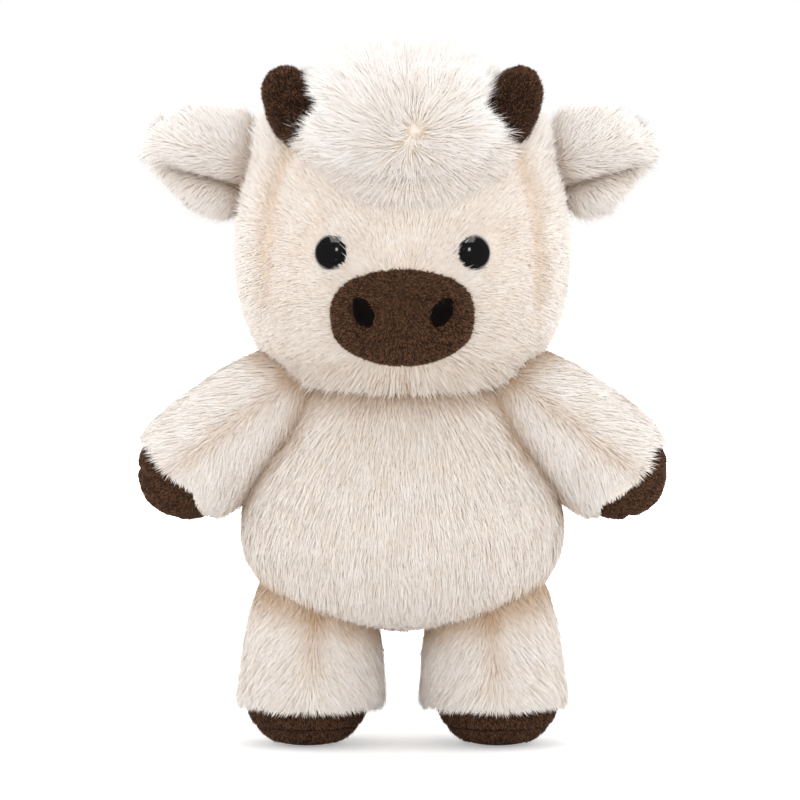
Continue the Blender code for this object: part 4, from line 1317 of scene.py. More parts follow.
@dataclass
class Forelock:
    """The mound of long pile on the crown, which spreads from a whorl above the eyes."""

    middle_height: float = 0.256
    forward: float = 0.011
    half_height: float = 0.032
    half_width: float = 0.041
    half_depth: float = 0.047
    width_shares: Shares = (1.10, 1.05, 1.02, 1.00, 1.02, 1.08, 1.12)
    pile_length: float = 0.0132
    parting: float = 0.005

    def __post_init__(self) -> None:
        """Works out the form."""
        self.form = StuffedForm(Matrix.Translation((0, BACK_SHIFT - self.forward, self.middle_height)),
                                self.half_height, self.half_width, self.half_depth, self.width_shares)

    def _part(self, skin: Skin, horns: list[StuffedForm]) -> np.ndarray:
        """Draws the mound back behind the horns, so that they stand in front of it.

        Args:
            skin: The mound's skin.
            horns: The horns' forms.

        Returns:
            1 beside a horn, falling to 0 away from both.
        """
        points = skin.points.copy()
        near = np.zeros(len(points))
        for horn in horns:
            spot = horn.local(points)
            spot[:, 1] = 0
            beside = horn.distance(horn.world(spot))
            exposed = ease(spot[:, 2], -0.012, -0.004)
            close = (1 - ease(beside, 0.0, self.parting)) * exposed * skin.shown
            behind = horn.place.translation.y + 0.002
            points[:, 1] += np.maximum(0, behind - points[:, 1]) * close
            near = np.maximum(near, close)
        skin.shape(points)
        return near

    def build(self, tree: PileTree, horns: list[StuffedForm]) -> None:
        """Makes the crown's pile.

        Args:
            tree: The pile tree.
            horns: The horns, which stand in it.
        """
        skin = Skin(("forelock",), self.form, fineness=0.0024)
        near_horn = self._part(skin, horns)
        points = skin.points
        start = self.form.front(*WHORL)[0]
        away = points - np.array(start)
        reach = np.linalg.norm(away, axis=1)
        waver = 0.6 + 0.9 * (1 - ease(reach, 0.002, 0.014))
        comb = unit(away) + waver[:, None] * swirl(points, 0.010, 7.0)
        comb[:, 2] -= 0.25 * ease(points[:, 1], -0.02, 0.02)
        for horn in horns:
            side = np.sign(horn.place.translation.x)
            comb += horn.tip * (0.5 * near_horn * (points[:, 0] * side > 0))[:, None]
        top = ease(points[:, 2], 0.262, 0.282)
        corner = top * ease(np.abs(points[:, 0] - WHORL[0]), 0.012, 0.032)
        behind = ease(points[:, 1], -0.022, -0.006)
        ruffle = patches(points, 0.03, 7.0)
        lean = 1.30 + 0.40 * ease(reach, 0.004, 0.03) - 0.75 * top * (1 - behind)
        skin.lay_pile(PileLay(
            comb=comb,
            lean=lean + 0.4 * behind + 0.2 * ruffle,
            droop=0.75 + 0.2 * patches(points, 0.02, 8.0) - 0.35 * top * (1 - behind),
            length=(self.pile_length * (0.65 + 0.35 * ease(reach, 0.0, 0.018)) * (1 + 0.12 * ruffle)
                    * (1 - 0.10 * top - 0.10 * corner - 0.25 * behind) * (1 - 0.25 * near_horn)),
            # painted shade: darker near the whorl, where the strands part and stand up
            tone=0.84 + 0.12 * ease(reach, 0.004, 0.035) + 0.08 * patches(points, 0.010, 9.0),
            thick=clear_of(points, horns, 0.001)))
        dress("crown_pile", skin, CROWN_PILE, tree, "head", 31)


@dataclass
class Nose:
    """The short pile nose pad, with a nostril patch pressed into each side."""

    height: float = NOSE_HEIGHT
    half_height: float = 0.0202
    half_width: float = 0.0281
    half_depth: float = 0.014
    sink: float = 0.0055
    nostril_spread: float = 0.0157
    nostril_rise: float = 0.0012
    nostril_half_length: float = 0.0064
    nostril_half_width: float = 0.0048
    nostril_half_depth: float = 0.0016
    nostril_narrow: float = 0.90
    nostril_taper: float = 0.14
    nostril_pile: float = 0.001
    nostril_tone: float = 0.4
    tilt_deg: float = 40
    seam_depth: float = 0.0007
    seam_width: float = 0.0007
    proud: float = 0.0004
    pile: float = 0.0017

    def place(self, head: StuffedForm) -> None:
        """Seats the pad on the head's front."""
        seat, _ = head.front(0, self.height)
        self.form = StuffedForm(Matrix.Translation((0, seat.y + self.sink, self.height)), self.half_height,
                                self.half_width, self.half_depth)

    def nostril(self, side: Side) -> StuffedForm:
        """Gives the form of one nostril patch."""
        point, normal = self.form.front(side.value * self.nostril_spread, self.height + self.nostril_rise)
        lean = math.radians(self.tilt_deg) * side.value
        upward = Vector((math.sin(lean), 0, math.cos(lean)))
        upward = (upward - normal * upward.dot(normal)).normalized()
        across = normal.cross(upward)
        depth = upward.cross(across).normalized()
        width = depth.cross(upward)
        place = Matrix((width, depth, upward)).transposed().to_4x4()
        place.translation = point
        return StuffedForm(place, self.nostril_half_length, self.nostril_half_width, self.nostril_half_depth)

    def build(self, tree: PileTree) -> None:
        """Makes the pad and the two nostril patches."""
        skin = Skin(("nose_pad",), self.form, fineness=0.0014)
        spot = skin.points.copy()
        off = np.abs(spot[:, 2] - self.height)
        spot[:, 0] *= 1 + 0.08 * ease(off, 0, 0.8 * self.half_height)
        skin.shape(spot)
        low, high = self.height - 0.6 * self.half_height, self.height - 0.4 * self.half_height
        below = 1 - ease(skin.points[:, 2], low, high)
        skin.press(self.seam_depth * bell(skin.points[:, 0], self.seam_width) * below - self.proud)
        points = skin.points
        skin.lay_pile(PileLay(
            comb=points - np.array((0, self.form.place.translation.y, self.height + 0.006)),
            length=self.pile,
            # painted shade: the pad is darker towards its bottom and lighter towards its top
            tone=(0.5 + 0.12 * patches(points, 0.006, 10.0)
                  - 0.12 * ease(-self.form.ball(points)[:, 2], -0.2, 1.0))))
        dress("nose", skin, SHORT_PILE, tree, "head", 41)
        for side in Side:
            self._nostril_patch(side, tree)

    def _nostril_patch(self, side: Side, tree: PileTree) -> None:
        """Makes one nostril patch, narrower at its top.

        Args:
            side: Which one.
            tree: The pile tree.
        """
        form = self.nostril(side)
        skin = Skin(("nostril_" + side.label,), form, fineness=0.0012)
        spot = form.local(skin.points)
        spot[:, 0] *= self.nostril_narrow - self.nostril_taper * spot[:, 2] / self.nostril_half_length
        skin.shape(form.world(spot))
        skin.press(-self.proud)
        skin.lay_pile(PileLay(comb=-UP, length=self.nostril_pile, tone=self.nostril_tone))
        dress("nostril_patch_" + side.label, skin, NOSTRIL_CLOTH, tree, "head", 45 + side.value)


@dataclass
class Eyes:
    """Two domed safety eyes with their shanks, locked by washers inside."""

    spread: float = 0.0284
    height: float = 0.2054
    radius: float = 0.0075
    dome: float = 0.0055
    rim: float = 0.0006
    seat: float = 0.0012
    gap: float = 0.0003
    shank_radius: float = 0.0022
    shank_length: float = 0.0125
    steps: int = 64
    dome_steps: int = 24
    back_bevel: float = 0.0004
    back_bevel_depth: float = 0.0001

    def places(self, head: StuffedForm) -> dict[Side, tuple[Vector, Vector]]:
        """Gives each eye's place on the head and its outward direction."""
        return {side: head.front(side.value * self.spread, self.height) for side in Side}

    def build(self, head: StuffedForm) -> None:
        """Turns the two eyes and dresses the washers."""
        back = self.gap - self.seat
        base = back + self.rim
        profile = [(0.0, base + self.dome)]
        for step in range(1, self.dome_steps + 1):
            angle = math.radians(90 * (1 - step / self.dome_steps))
            profile.append((self.radius * math.cos(angle), base + self.dome * math.sin(angle)))
        behind = back - self.back_bevel_depth
        profile += [(self.radius, back), (self.radius - self.back_bevel, behind), (self.shank_radius, behind),
                    (self.shank_radius, -self.shank_length), (0.0, -self.shank_length)]
        for side, (point, normal) in self.places(head).items():
            turn = Vector((0, 0, 1)).rotation_difference(normal).to_matrix().to_4x4()
            piece = lathe("eye_dome_" + side.label, profile, self.steps, Matrix.Translation(point) @ turn)
            piece.data.materials.append(material_of(EyePlastic()))
            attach(piece, "head")
            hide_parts("eye_" + side.label)
            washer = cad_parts["eye_washer_" + side.label]
            washer.data.materials.clear()
            washer.data.materials.append(material_of(MouldedPlastic()))
            LOG.info("eye_dome_%s", side.label)


def lathe(name: str, profile: Profile, steps: int, place: Matrix) -> bpy.types.Object:
    """Turns a profile about its own Z into a closed mesh.

    Args:
        name: The object's name.
        profile: Points of radius and height from the top to the bottom. A radius of 0 closes an end.
        steps: How many sides.
        place: Where it goes in the world.

    Returns:
        The object, at the origin, with its place in its mesh.
    """
    mesh = bmesh.new()
    angles = [2 * math.pi * step / steps for step in range(steps)]
    rings = []
    for radius, height in profile:
        around = [Vector((radius * math.cos(angle), radius * math.sin(angle), height)) for angle in angles]
        ring = around if radius > 0 else [Vector((0, 0, height))]
        rings.append([mesh.verts.new(place @ point) for point in ring])
    closed = profile[0][0] > 0
    pairs = list(zip(rings, rings[1:])) + ([(rings[-1], rings[0])] if closed else [])
    for upper, lower in pairs:
        for step in range(steps):
            after = (step + 1) % steps
            round_face = [upper[step % len(upper)], lower[step % len(lower)], lower[after % len(lower)],
                          upper[after % len(upper)]]
            unique = list(dict.fromkeys(round_face))
            if len(unique) > 2:
                mesh.faces.new(unique)
    bmesh.ops.recalc_face_normals(mesh, faces=mesh.faces[:])
    made = bpy.data.meshes.new(name)
    mesh.to_mesh(made)
    mesh.free()
    made.shade_smooth()
    return placed(name, made)


@dataclass
class Horns:
    """Two stuffed horns of short pile, sewn from two panels."""

    spread: float = 0.0418
    height: float = 0.2609
    forward: float = 0.027
    splay_deg: float = 30
    half_length: float = 0.0205
    half_width: float = 0.0125
    half_depth: float = 0.0085
    width_shares: Shares = (1.10, 1.08, 1.04, 1.00, 0.98, 1.05, 1.10)
    seam_depth: float = 0.0005
    seam_width: float = 0.0006
    pile: float = 0.0020

    def form(self, side: Side) -> StuffedForm:
        """Gives one horn's form."""
        place = leaning(side, self.spread, self.forward, self.height, self.splay_deg)
        return StuffedForm(place, self.half_length, self.half_width, self.half_depth, self.width_shares)

    def build(self, tree: PileTree) -> None:
        """Makes both horns."""
        for side in Side:
            form = self.form(side)
            skin = Skin(("horn_" + side.label,), form, fineness=0.0016)
            points = skin.points
            spot = form.local(points)
            edge = ease(np.linalg.norm(form.ball(points)[:, [0, 2]], axis=1), 0.45, 1.0)
            skin.press(self.seam_depth * bell(spot[:, 1], self.seam_width))
            skin.lay_pile(PileLay(
                comb=form.tip + 0.8 * swirl(points, 0.006, 11.0), lean=0.55, length=self.pile,
                # painted sheen: the pile is lighter towards the rim of each panel's outline (edge)
                tone=0.04 + 0.1 * patches(points, 0.006, 12.0) + 0.75 * edge ** 3))
            dress("horn_pile_" + side.label, skin, SHORT_PILE, tree, "head", 51 + side.value)


@dataclass
class Ears:
    """Two ears, folded lengthways so that each shows an upper and a lower lobe with a shaded hollow."""

    spread: float = 0.0815
    height: float = 0.2405
    back: float = 0.002
    rise_deg: float = 13
    half_length: float = 0.0225
    half_width: float = 0.0180
    half_depth: float = 0.0080
    width_shares: Shares = (0.72, 0.84, 1.06, 1.04, 1.03, 1.16, 1.20)
    depth_shares: Shares = (0.95, 0.95, 0.95, 1.00, 1.00, 1.05, 1.10)
    pile_length: float = 0.0076
    narrow: float = 0.85
    left_length: float = 0.85
    right_length: float = 0.96
    roll: float = 0.0030
    roll_at: float = 0.0100
    roll_width: float = 0.0075
    fold_at: float = -0.0042
    fold_rise: float = 0.04
    fold_depth: float = 0.0085
    fold_width: float = 0.0030

    def form(self, side: Side) -> StuffedForm:
        """Gives the back panel's form."""
        place = leaning(side, self.spread, -self.back, self.height, 90 - self.rise_deg)
        return StuffedForm(place, self.half_length, self.half_width, self.half_depth, self.width_shares,
                           self.depth_shares)

    def build(self, tree: PileTree, meets: list[StuffedForm]) -> None:
        """Makes both ears.

        Args:
            tree: The pile tree.
            meets: Forms whose pile they press on.
        """
        for side in Side:
            form = self.form(side)
            skin = BallSkin((f"ear_{side.label}", f"ear_lining_{side.label}"), form, 5)
            spot = form.local(skin.points)
            lift = 0.19 * ease(-spot[:, 0] * side.value, -0.002, 0.006)
            root, tip = 1 - ease(spot[:, 2], -0.021, -0.003), ease(spot[:, 2], 0.0, 0.02)
            spot[:, 0] *= (self.narrow + lift) * (1 + 0.45 * root - 0.12 * tip)
            lower = ease(spot[:, 0] * side.value, -0.002, 0.014)
            share = self.left_length if side is Side.LEFT else self.right_length
            spot[:, 2] = spot[:, 2] * share - 0.42 * lower * np.maximum(0, spot[:, 2] + 0.008)
            upward, along = -spot[:, 0] * side.value, spot[:, 2]
            off_fold = upward - (self.fold_at + self.fold_rise * along)
            front = ease(-skin.ball[:, 1], -0.2, 0.5)
            opening = 1 - ease(along, 0.009, 0.019)
            hollow = bell(off_fold, self.fold_width) * opening * front
            upper = bell(off_fold - self.roll_at, self.roll_width) * front
            spot[:, 1] += (self.fold_depth * hollow - self.roll * upper * opening
                           + 0.0016 * ease(-off_fold, 0, 0.004) * front)
            skin.shape(form.world(spot))
            rise = np.where(off_fold > 0, np.clip((off_fold - 0.008) / 0.008, -0.55, 0.8), -1.1)
            ahead = np.where(off_fold > 0, 0.9, 0.55)
            comb = form.tip * ahead[:, None] - side.value * form.turn[:, 0] * rise[:, None]
            comb += 0.2 * swirl(skin.points, 0.012, 13.0) + np.array((0, 0.3, 0)) * (1 - front)[:, None]
            opened = crease(skin.points, meets, 0.012)
            # deep: how far into the fold's hollow, where the pile is painted darker as painted shade
            deep = hollow * (1 - 0.75 * ease(along, -0.012, 0.014))
            under = bell(off_fold + 0.004, 0.004) * front * opening
            skin.lay_pile(PileLay(
                comb=comb,
                lean=1.25 + 0.15 * patches(skin.points, 0.02, 13.0),
                droop=0.6 + 0.15 * patches(skin.points, 0.015, 14.0),
                length=self.pile_length * (1 - 0.4 * hollow) * (1 + 0.1 * patches(skin.points, 0.01, 15.0)),
                # painted shade: darker where the ear meets the head, deep in the fold's hollow and just under
                # the upper lobe
                tone=0.44 + 0.44 * opened - 0.78 * deep - 0.06 * under,
                thick=clear_of(skin.points, meets, 0.001)))
            dress("ear_pile_" + side.label, skin, LONG_PILE, tree, "ear_" + side.label, 61 + side.value)


@dataclass
class Arms:
    """Two arms: a long pile sleeve over a short pile hoof."""

    spread: float = 0.0692
    height: float = 0.1289
    forward: float = 0.004
    droop_deg: float = 37
    half_length: float = 0.045
    half_width: float = 0.022
    half_depth: float = 0.021
    width_shares: Shares = (1.20, 1.20, 1.04, 1.00, 1.12, 1.30, 1.34)
    hoof_length: float = 0.019
    pile_length: float = 0.0098
    line_down: float = 0.004
    cuff_reach: float = 0.008
    cuff_short: float = 0.76
    cuff_upper_long: float = 0.58
    hoof_pile: float = 0.0016
    seam_in: float = 0.0052
    seam_depth: float = 0.0013
    seam_width: float = 0.0010
    gathers: int = 17
    gather_depth: float = 0.0007
    gather_in: float = 0.0022
    gather_width: float = 0.0026

    def form(self, side: Side) -> StuffedForm:
        """Gives one arm's form."""
        place = leaning(side, self.spread, self.forward, self.height, 90 + self.droop_deg)
        return StuffedForm(place, self.half_length, self.half_width, self.half_depth, self.width_shares)

    def build(self, tree: PileTree, meets: list[StuffedForm], over: list[StuffedForm]) -> None:
        """Makes both sleeves and their hooves.

        Args:
            tree: The pile tree.
            meets: Forms whose pile they press on.
            over: Forms that cover them.
        """
        for side in Side:
            form = self.form(side)
            skin = Skin(("arm_cover_" + side.label,), form, fineness=0.0026)
            points = skin.points
            comb, line = fanned(points, form, 1, -self.line_down * side.value)
            comb += 0.15 * swirl(points, 0.02, 15.0) + np.array((0, 0, -0.1))
            opened = crease(points, meets, 0.012)
            ruffle = patches(points, 0.028, 15.0)
            spot = form.local(points)
            cuff_end = self.half_length - self.hoof_length
            cuff = ease(spot[:, 2], cuff_end - self.cuff_reach, cuff_end)
            upper = ease(-side.value * spot[:, 0], -0.004, 0.012)
            length = self.pile_length * (0.7 + 0.3 * opened) * (1 + 0.1 * ruffle)
            skin.lay_pile(PileLay(
                comb=comb, lean=1.95 + 0.2 * ruffle, droop=0.7 + 0.15 * patches(points, 0.018, 16.0),
                length=length * (1 + (self.cuff_upper_long * upper - self.cuff_short) * cuff),
                # painted shade: darker in the crease where the arm meets the body and head, and along the
                # parting line in front
                tone=0.12 + 0.74 * opened - 0.24 * line + 0.07 * patches(points, 0.012, 17.0),
                thick=clear_of(points, over, 0.0)))
            dress("arm_pile_" + side.label, skin, LONG_PILE, tree, "arm_" + side.label, 71 + side.value)
            self._hoof(side, form, tree)

    def _hoof(self, side: Side, form: StuffedForm, tree: PileTree) -> None:
        """Makes one hoof, with a seam round its end and gathers beyond it.

        Args:
            side: Which one.
            form: The arm's form.
            tree: The pile tree.
        """
        skin = Skin(("arm_hoof_" + side.label,), form, fineness=0.0016)
        spot = form.local(skin.points)
        beyond = spot[:, 2] - (self.half_length - self.seam_in)
        groove = bell(beyond, self.seam_width)
        angle = np.arctan2(spot[:, 1], spot[:, 0])
        gathers = 0.5 + 0.5 * np.sin(angle * self.gathers + 1.5 * np.sin(angle * 3))
        beside = bell(beyond - self.gather_in, self.gather_width)
        skin.press(self.seam_depth * groove + self.gather_depth * gathers * beside)
        skin.lay_pile(PileLay(
            comb=form.tip, length=self.hoof_pile * (1 - 0.4 * groove),
            # painted shade: darker in the pressed seam groove
            tone=0.58 + 0.12 * patches(skin.points, 0.01, 18.0) - 0.5 * groove))
        dress("arm_hoof_pile_" + side.label, skin, SHORT_PILE, tree, "arm_" + side.label, 81 + side.value)


@dataclass
class Legs:
    """Two legs: a long pile sleeve, a short pile hoof band and a sole."""

    spread: float = 0.0370
    forward: float = 0.002
    middle_height: float = 0.036
    splay_deg: float = 3
    half_length: float = 0.056
    half_width: float = 0.027
    half_depth: float = 0.026
    width_shares: Shares = (1.10, 1.10, 1.11, 0.963, 0.924, 1.04, 1.00)
    hem_height: float = 0.0195
    pile_length: float = 0.0098
    foot_spread: float = 0.0394
    hoof_radius: float = 0.0245
    bowl_height: float = 0.0172
    sole_seam_height: float = 0.0082
    sole_flat_radius: float = 0.0045
    sole_thickness: float = 0.0030
    wall: float = 0.003
    gap: float = 0.0001
    hoof_pile: float = 0.0016
    steps: int = 120
    band_steps: int = 12
    sole_steps: int = 16
    sole_step_power: float = 1.5
    seam_depth: float = 0.0003
    seam_width: float = 0.0007
    puckers: int = 23
    pucker_depth: float = 0.0005
    pucker_width: float = 0.0035
    panel_seams: tuple[float, ...] = (-math.pi / 2, math.pi / 6, math.pi * 5 / 6)
    panel_depth: float = 0.0005
    panel_width: float = 0.0006

    def form(self, side: Side) -> StuffedForm:
        """Gives one leg's form."""
        place = leaning(side, self.spread, self.forward, self.middle_height, -self.splay_deg)
        return StuffedForm(place, self.half_length, self.half_width, self.half_depth, self.width_shares)

    def build(self, tree: PileTree, meets: list[StuffedForm], over: list[StuffedForm]) -> None:
        """Makes both legs.

        Args:
            tree: The pile tree.
            meets: Forms whose pile they press on.
            over: Forms that cover them.
        """
        for side in Side:
            form = self.form(side)
            skin = Skin(("leg_cover_" + side.label,), form, fineness=0.0026)
            points = skin.points
            comb, line = fanned(points, form, -1)
            comb += 0.15 * swirl(points, 0.02, 19.0)
            opened = crease(points, meets, 0.012)
            parting = line * ease(points[:, 2], 0.024, 0.045)
            ruffle = patches(points, 0.028, 19.0)
            cuff = 1 - ease(points[:, 2], self.hem_height, self.hem_height + 0.006)
            skin.lay_pile(PileLay(
                comb=comb, lean=1.95 + 0.2 * ruffle, droop=0.7 + 0.15 * patches(points, 0.018, 20.0),
                length=self.pile_length * (0.7 + 0.3 * opened) * (1 + 0.1 * ruffle) * (1 - 0.45 * cuff),
                # painted shade: darker where the leg meets the body, and along the parting line in front
                tone=0.14 + 0.66 * opened - 0.26 * parting + 0.07 * patches(points, 0.012, 21.0),
                thick=clear_of(points, over, 0.0)))
            dress("leg_pile_" + side.label, skin, LONG_PILE, tree, "leg_" + side.label, 91 + side.value)
            self._foot(side, tree)

    def _foot(self, side: Side, tree: PileTree) -> None:
        """Makes one foot's band and sole, gathered along the sole seam.

        Args:
            side: Which one.
            tree: The pile tree.
        """
        middle = np.array((side.value * self.foot_spread, BACK_SHIFT - self.forward, 0.0))
        top, low = self.hem_height - self.gap, self.sole_seam_height + self.gap
        inner = self._bowl(low) - self.wall
        heights = [top - (top - low) * step / self.band_steps for step in range(self.band_steps + 1)]
        outer_band = [(self._bowl(height), height) for height in heights]
        self._turned(f"hoof_band_{side.label}", outer_band, [(inner, low), (inner, top)], middle,
                     "leg_hoof_" + side.label, side, tree, 101)
        heights = [self.sole_seam_height * (1 - step / self.sole_steps) ** self.sole_step_power
                   for step in range(self.sole_steps + 1)]
        outer_sole = [(self._bowl(height), height) for height in heights]
        outer_sole += [(self.sole_flat_radius * share, 0.0) for share in (0.6, 0.3, 0.0)]
        lining = [(0.0, self.sole_thickness)]
        lining += [(self._bowl(height) - self.wall, height)
                   for height in (self.sole_thickness, self.sole_seam_height)]
        self._turned(f"hoof_sole_{side.label}", outer_sole, lining, middle, "leg_sole_" + side.label, side,
                     tree, 111)

    def _bowl(self, height: float) -> float:
        """Gives a foot's radius at a height above the floor."""
        sunk = max(0.0, 1 - height / self.bowl_height)
        return self.sole_flat_radius + (self.hoof_radius - self.sole_flat_radius) * math.sqrt(1 - sunk ** 2)

    def _turned(self, name: str, outer: Profile, inner: Profile, middle: np.ndarray, node: str, side: Side,
                tree: PileTree, seed: int) -> None:
        """Turns one closed piece of a foot and grows its short pile.

        Args:
            name: The piece's name.
            outer: The outer profile, which bears pile.
            inner: The rest of the profile.
            middle: The foot's middle on the floor.
            node: The solid that it stands for.
            side: Which foot.
            tree: The pile tree.
            seed: Fixes everything random.
        """
        closed = outer[-1][0] > 0
        profile = outer + inner if closed else [(0.0, inner[0][1])] + inner[1:] + outer
        piece = lathe(name, profile, self.steps, Matrix.Translation(Vector(middle)))
        skin = TurnedSkin(piece, middle, outer)
        self._gather(skin, middle)
        points = skin.points
        seam = bell(points[:, 2] - self.sole_seam_height, 0.0009)
        under = 1 - ease(points[:, 2], 0.0006, 0.003)
        skin.lay_pile(PileLay(
            comb=0.5 * unit(points - middle) * np.array((1, 1, 0)) - UP, lean=0.6 + 2.4 * under,
            length=self.hoof_pile * (1 - 0.5 * seam) * (1 - 0.3 * under),
            # painted shade: darker in the pressed sole seam
            tone=0.48 + 0.12 * patches(points, 0.01, 22.0) - 0.2 * seam))
        dress(name, skin, SHORT_PILE, tree, "leg_" + side.label, seed + side.value, replaces=(node,))

    def _gather(self, skin: "TurnedSkin", middle: np.ndarray) -> None:
        """Draws the cloth in at the sole seam, puckers it on both sides and presses in the panel seams.

        Args:
            skin: The foot's skin.
            middle: The foot's middle on the floor.
        """
        spot = skin.points - middle
        above = spot[:, 2] - self.sole_seam_height
        angle = np.arctan2(spot[:, 1], spot[:, 0])
        pucker = 0.5 + 0.5 * np.sin(angle * self.puckers + 2.2 * np.sin(angle * 5 + 0.7))
        upright = np.zeros(len(spot))
        for where in self.panel_seams:
            off = np.angle(np.exp(1j * (angle - where))) * self.hoof_radius
            upright = np.maximum(upright, bell(off, self.panel_width))
        skin.press(self.seam_depth * bell(above, self.seam_width)
                   + self.pucker_depth * pucker * bell(above, self.pucker_width)
                   + self.panel_depth * upright * (above > 0))


class TurnedSkin(Skin):
    """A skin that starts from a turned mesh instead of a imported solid."""

    NEAR_PROFILE = 1e-5

    def __init__(self, piece: bpy.types.Object, middle: np.ndarray, outer: Profile) -> None:
        """Takes a turned piece's mesh.

        Args:
            piece: The turned object, which is removed.
            middle: The axis's foot.
            outer: The profile that bears pile.
        """
        self.nodes = ()
        self.mesh = piece.data
        bpy.data.objects.remove(piece)
        triangles = bmesh.new()
        triangles.from_mesh(self.mesh)
        bmesh.ops.triangulate(triangles, faces=triangles.faces[:])
        triangles.to_mesh(self.mesh)
        triangles.free()
        self.points = rows(self.mesh.vertices, "co")
        self.normals = rows(self.mesh.vertices, "normal")
        radius = np.linalg.norm((self.points - middle)[:, :2], axis=1)
        self.shown = np.zeros(len(self.points), bool)
        for wide, high in outer:
            at_height = np.abs(self.points[:, 2] - high) < self.NEAR_PROFILE
            self.shown |= (np.abs(radius - wide) < self.NEAR_PROFILE) & at_height
        self.faces = rows(self.mesh.polygons, "vertices", int)
        self.showing = self.shown[self.faces].all(axis=1)


@dataclass
class Tail:
    """The tail: a thin pile tube with a tuft at its end."""

    root: tuple[float, float, float] = (0.0, 0.05153, 0.098)
    lean_deg: float = 14
    length: float = 0.034
    radius: float = 0.0050
    root_radius: float = 0.0046
    tuft_half_length: float = 0.0135
    tuft_radius: float = 0.0085
    pile: float = 0.0055
    tuft_pile: float = 0.0090

    def build(self, tree: PileTree) -> None:
        """Makes the tail."""
        turn = Matrix.Rotation(math.radians(self.lean_deg) - math.pi, 4, "X")
        half = self.length / 2
        place = Matrix.Translation(self.root) @ turn @ Matrix.Translation((0, 0, half - self.root_radius))
        tail = StuffedForm(place, half, self.radius, self.radius)
        tuft = StuffedForm(place @ Matrix.Translation((0, 0, half)), self.tuft_half_length, self.tuft_radius,
                           self.tuft_radius)
        for name, node, form, length, seed in (("tail_pile", "tail_cover", tail, self.pile, 121),
                                               ("tail_tuft_pile", "tail_tuft", tuft, self.tuft_pile, 122)):
            skin = Skin((node,), form, fineness=0.0016)
            skin.lay_pile(PileLay(
                comb=form.tip, lean=1.1, droop=0.5, length=length,
                tone=0.8 + 0.1 * patches(skin.points, 0.01, 23.0),
                thick=clear_of(skin.points, [tuft] if form is tail else [])))
            dress(name, skin, LONG_PILE, tree, "tail", seed)


@dataclass
class Filling:
    """The stuffing and the pellet bags, lumpy inside their covers."""

    fibre: FillingFinish = FillingFinish("polyester fibre", shade(214, 212, 206), shade(244, 243, 240), 240.0)
    bag: FillingFinish = FillingFinish("pellet bag cloth", shade(196, 190, 178), shade(232, 228, 218), 420.0,
                                       pellets=True)
    lump: float = 0.0011
    lump_size: float = 0.011
    phase: float = 24.0
    pellet_share: float = 0.35
    fineness: float = 0.006
    small_fineness: float = 0.0035
    small: tuple[str, ...] = ("foot", "horn", "arm")
    passes: int = 3

    def build(self) -> None:
        """Makes each filling from its solid."""
        bodies = {"torso_stuffing": "torso", "head_stuffing": "head"}
        for side in Side:
            bodies["horn_stuffing_" + side.label] = "head"
            bodies["arm_stuffing_" + side.label] = "arm_" + side.label
            bodies["leg_stuffing_" + side.label] = "leg_" + side.label
            bodies["foot_pellets_" + side.label] = "leg_" + side.label
        for node, body in bodies.items():
            pellets = node.startswith("foot_pellets")
            made = self._lumpy(node, self.lump * (self.pellet_share if pellets else 1.0))
            made.materials.append(material_of(self.bag if pellets else self.fibre))
            piece = placed(node + "_fill", made)
            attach(piece, body)
            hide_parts(node)
            LOG.info("%s: %d faces", piece.name, len(made.polygons))

    def _lumpy(self, node: str, lump: float) -> bpy.types.Mesh:
        """Draws a solid's skin in unevenly, and never out.

        Args:
            node: The solid.
            lump: How far in at most.

        Returns:
            The mesh.
        """
        mesh = bmesh.new()
        mesh.from_mesh(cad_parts[node].data)
        bmesh.ops.remove_doubles(mesh, verts=mesh.verts, dist=MERGE)
        limit = self.small_fineness if node.startswith(self.small) else self.fineness
        for _ in range(self.passes):
            split_long(mesh, [edge for edge in mesh.edges if edge.calc_length() > limit])
            triangles_only(mesh)
        mesh.normal_update()
        points = np.array([vert.co for vert in mesh.verts])
        depth = lump * (0.5 + 0.5 * patches(points, self.lump_size, self.phase))
        for vert, deep in zip(mesh.verts, depth):
            vert.co -= vert.normal * float(deep)
        made = bpy.data.meshes.new(node + "_fill")
        mesh.to_mesh(made)
        mesh.free()
        made.shade_smooth()
        return made


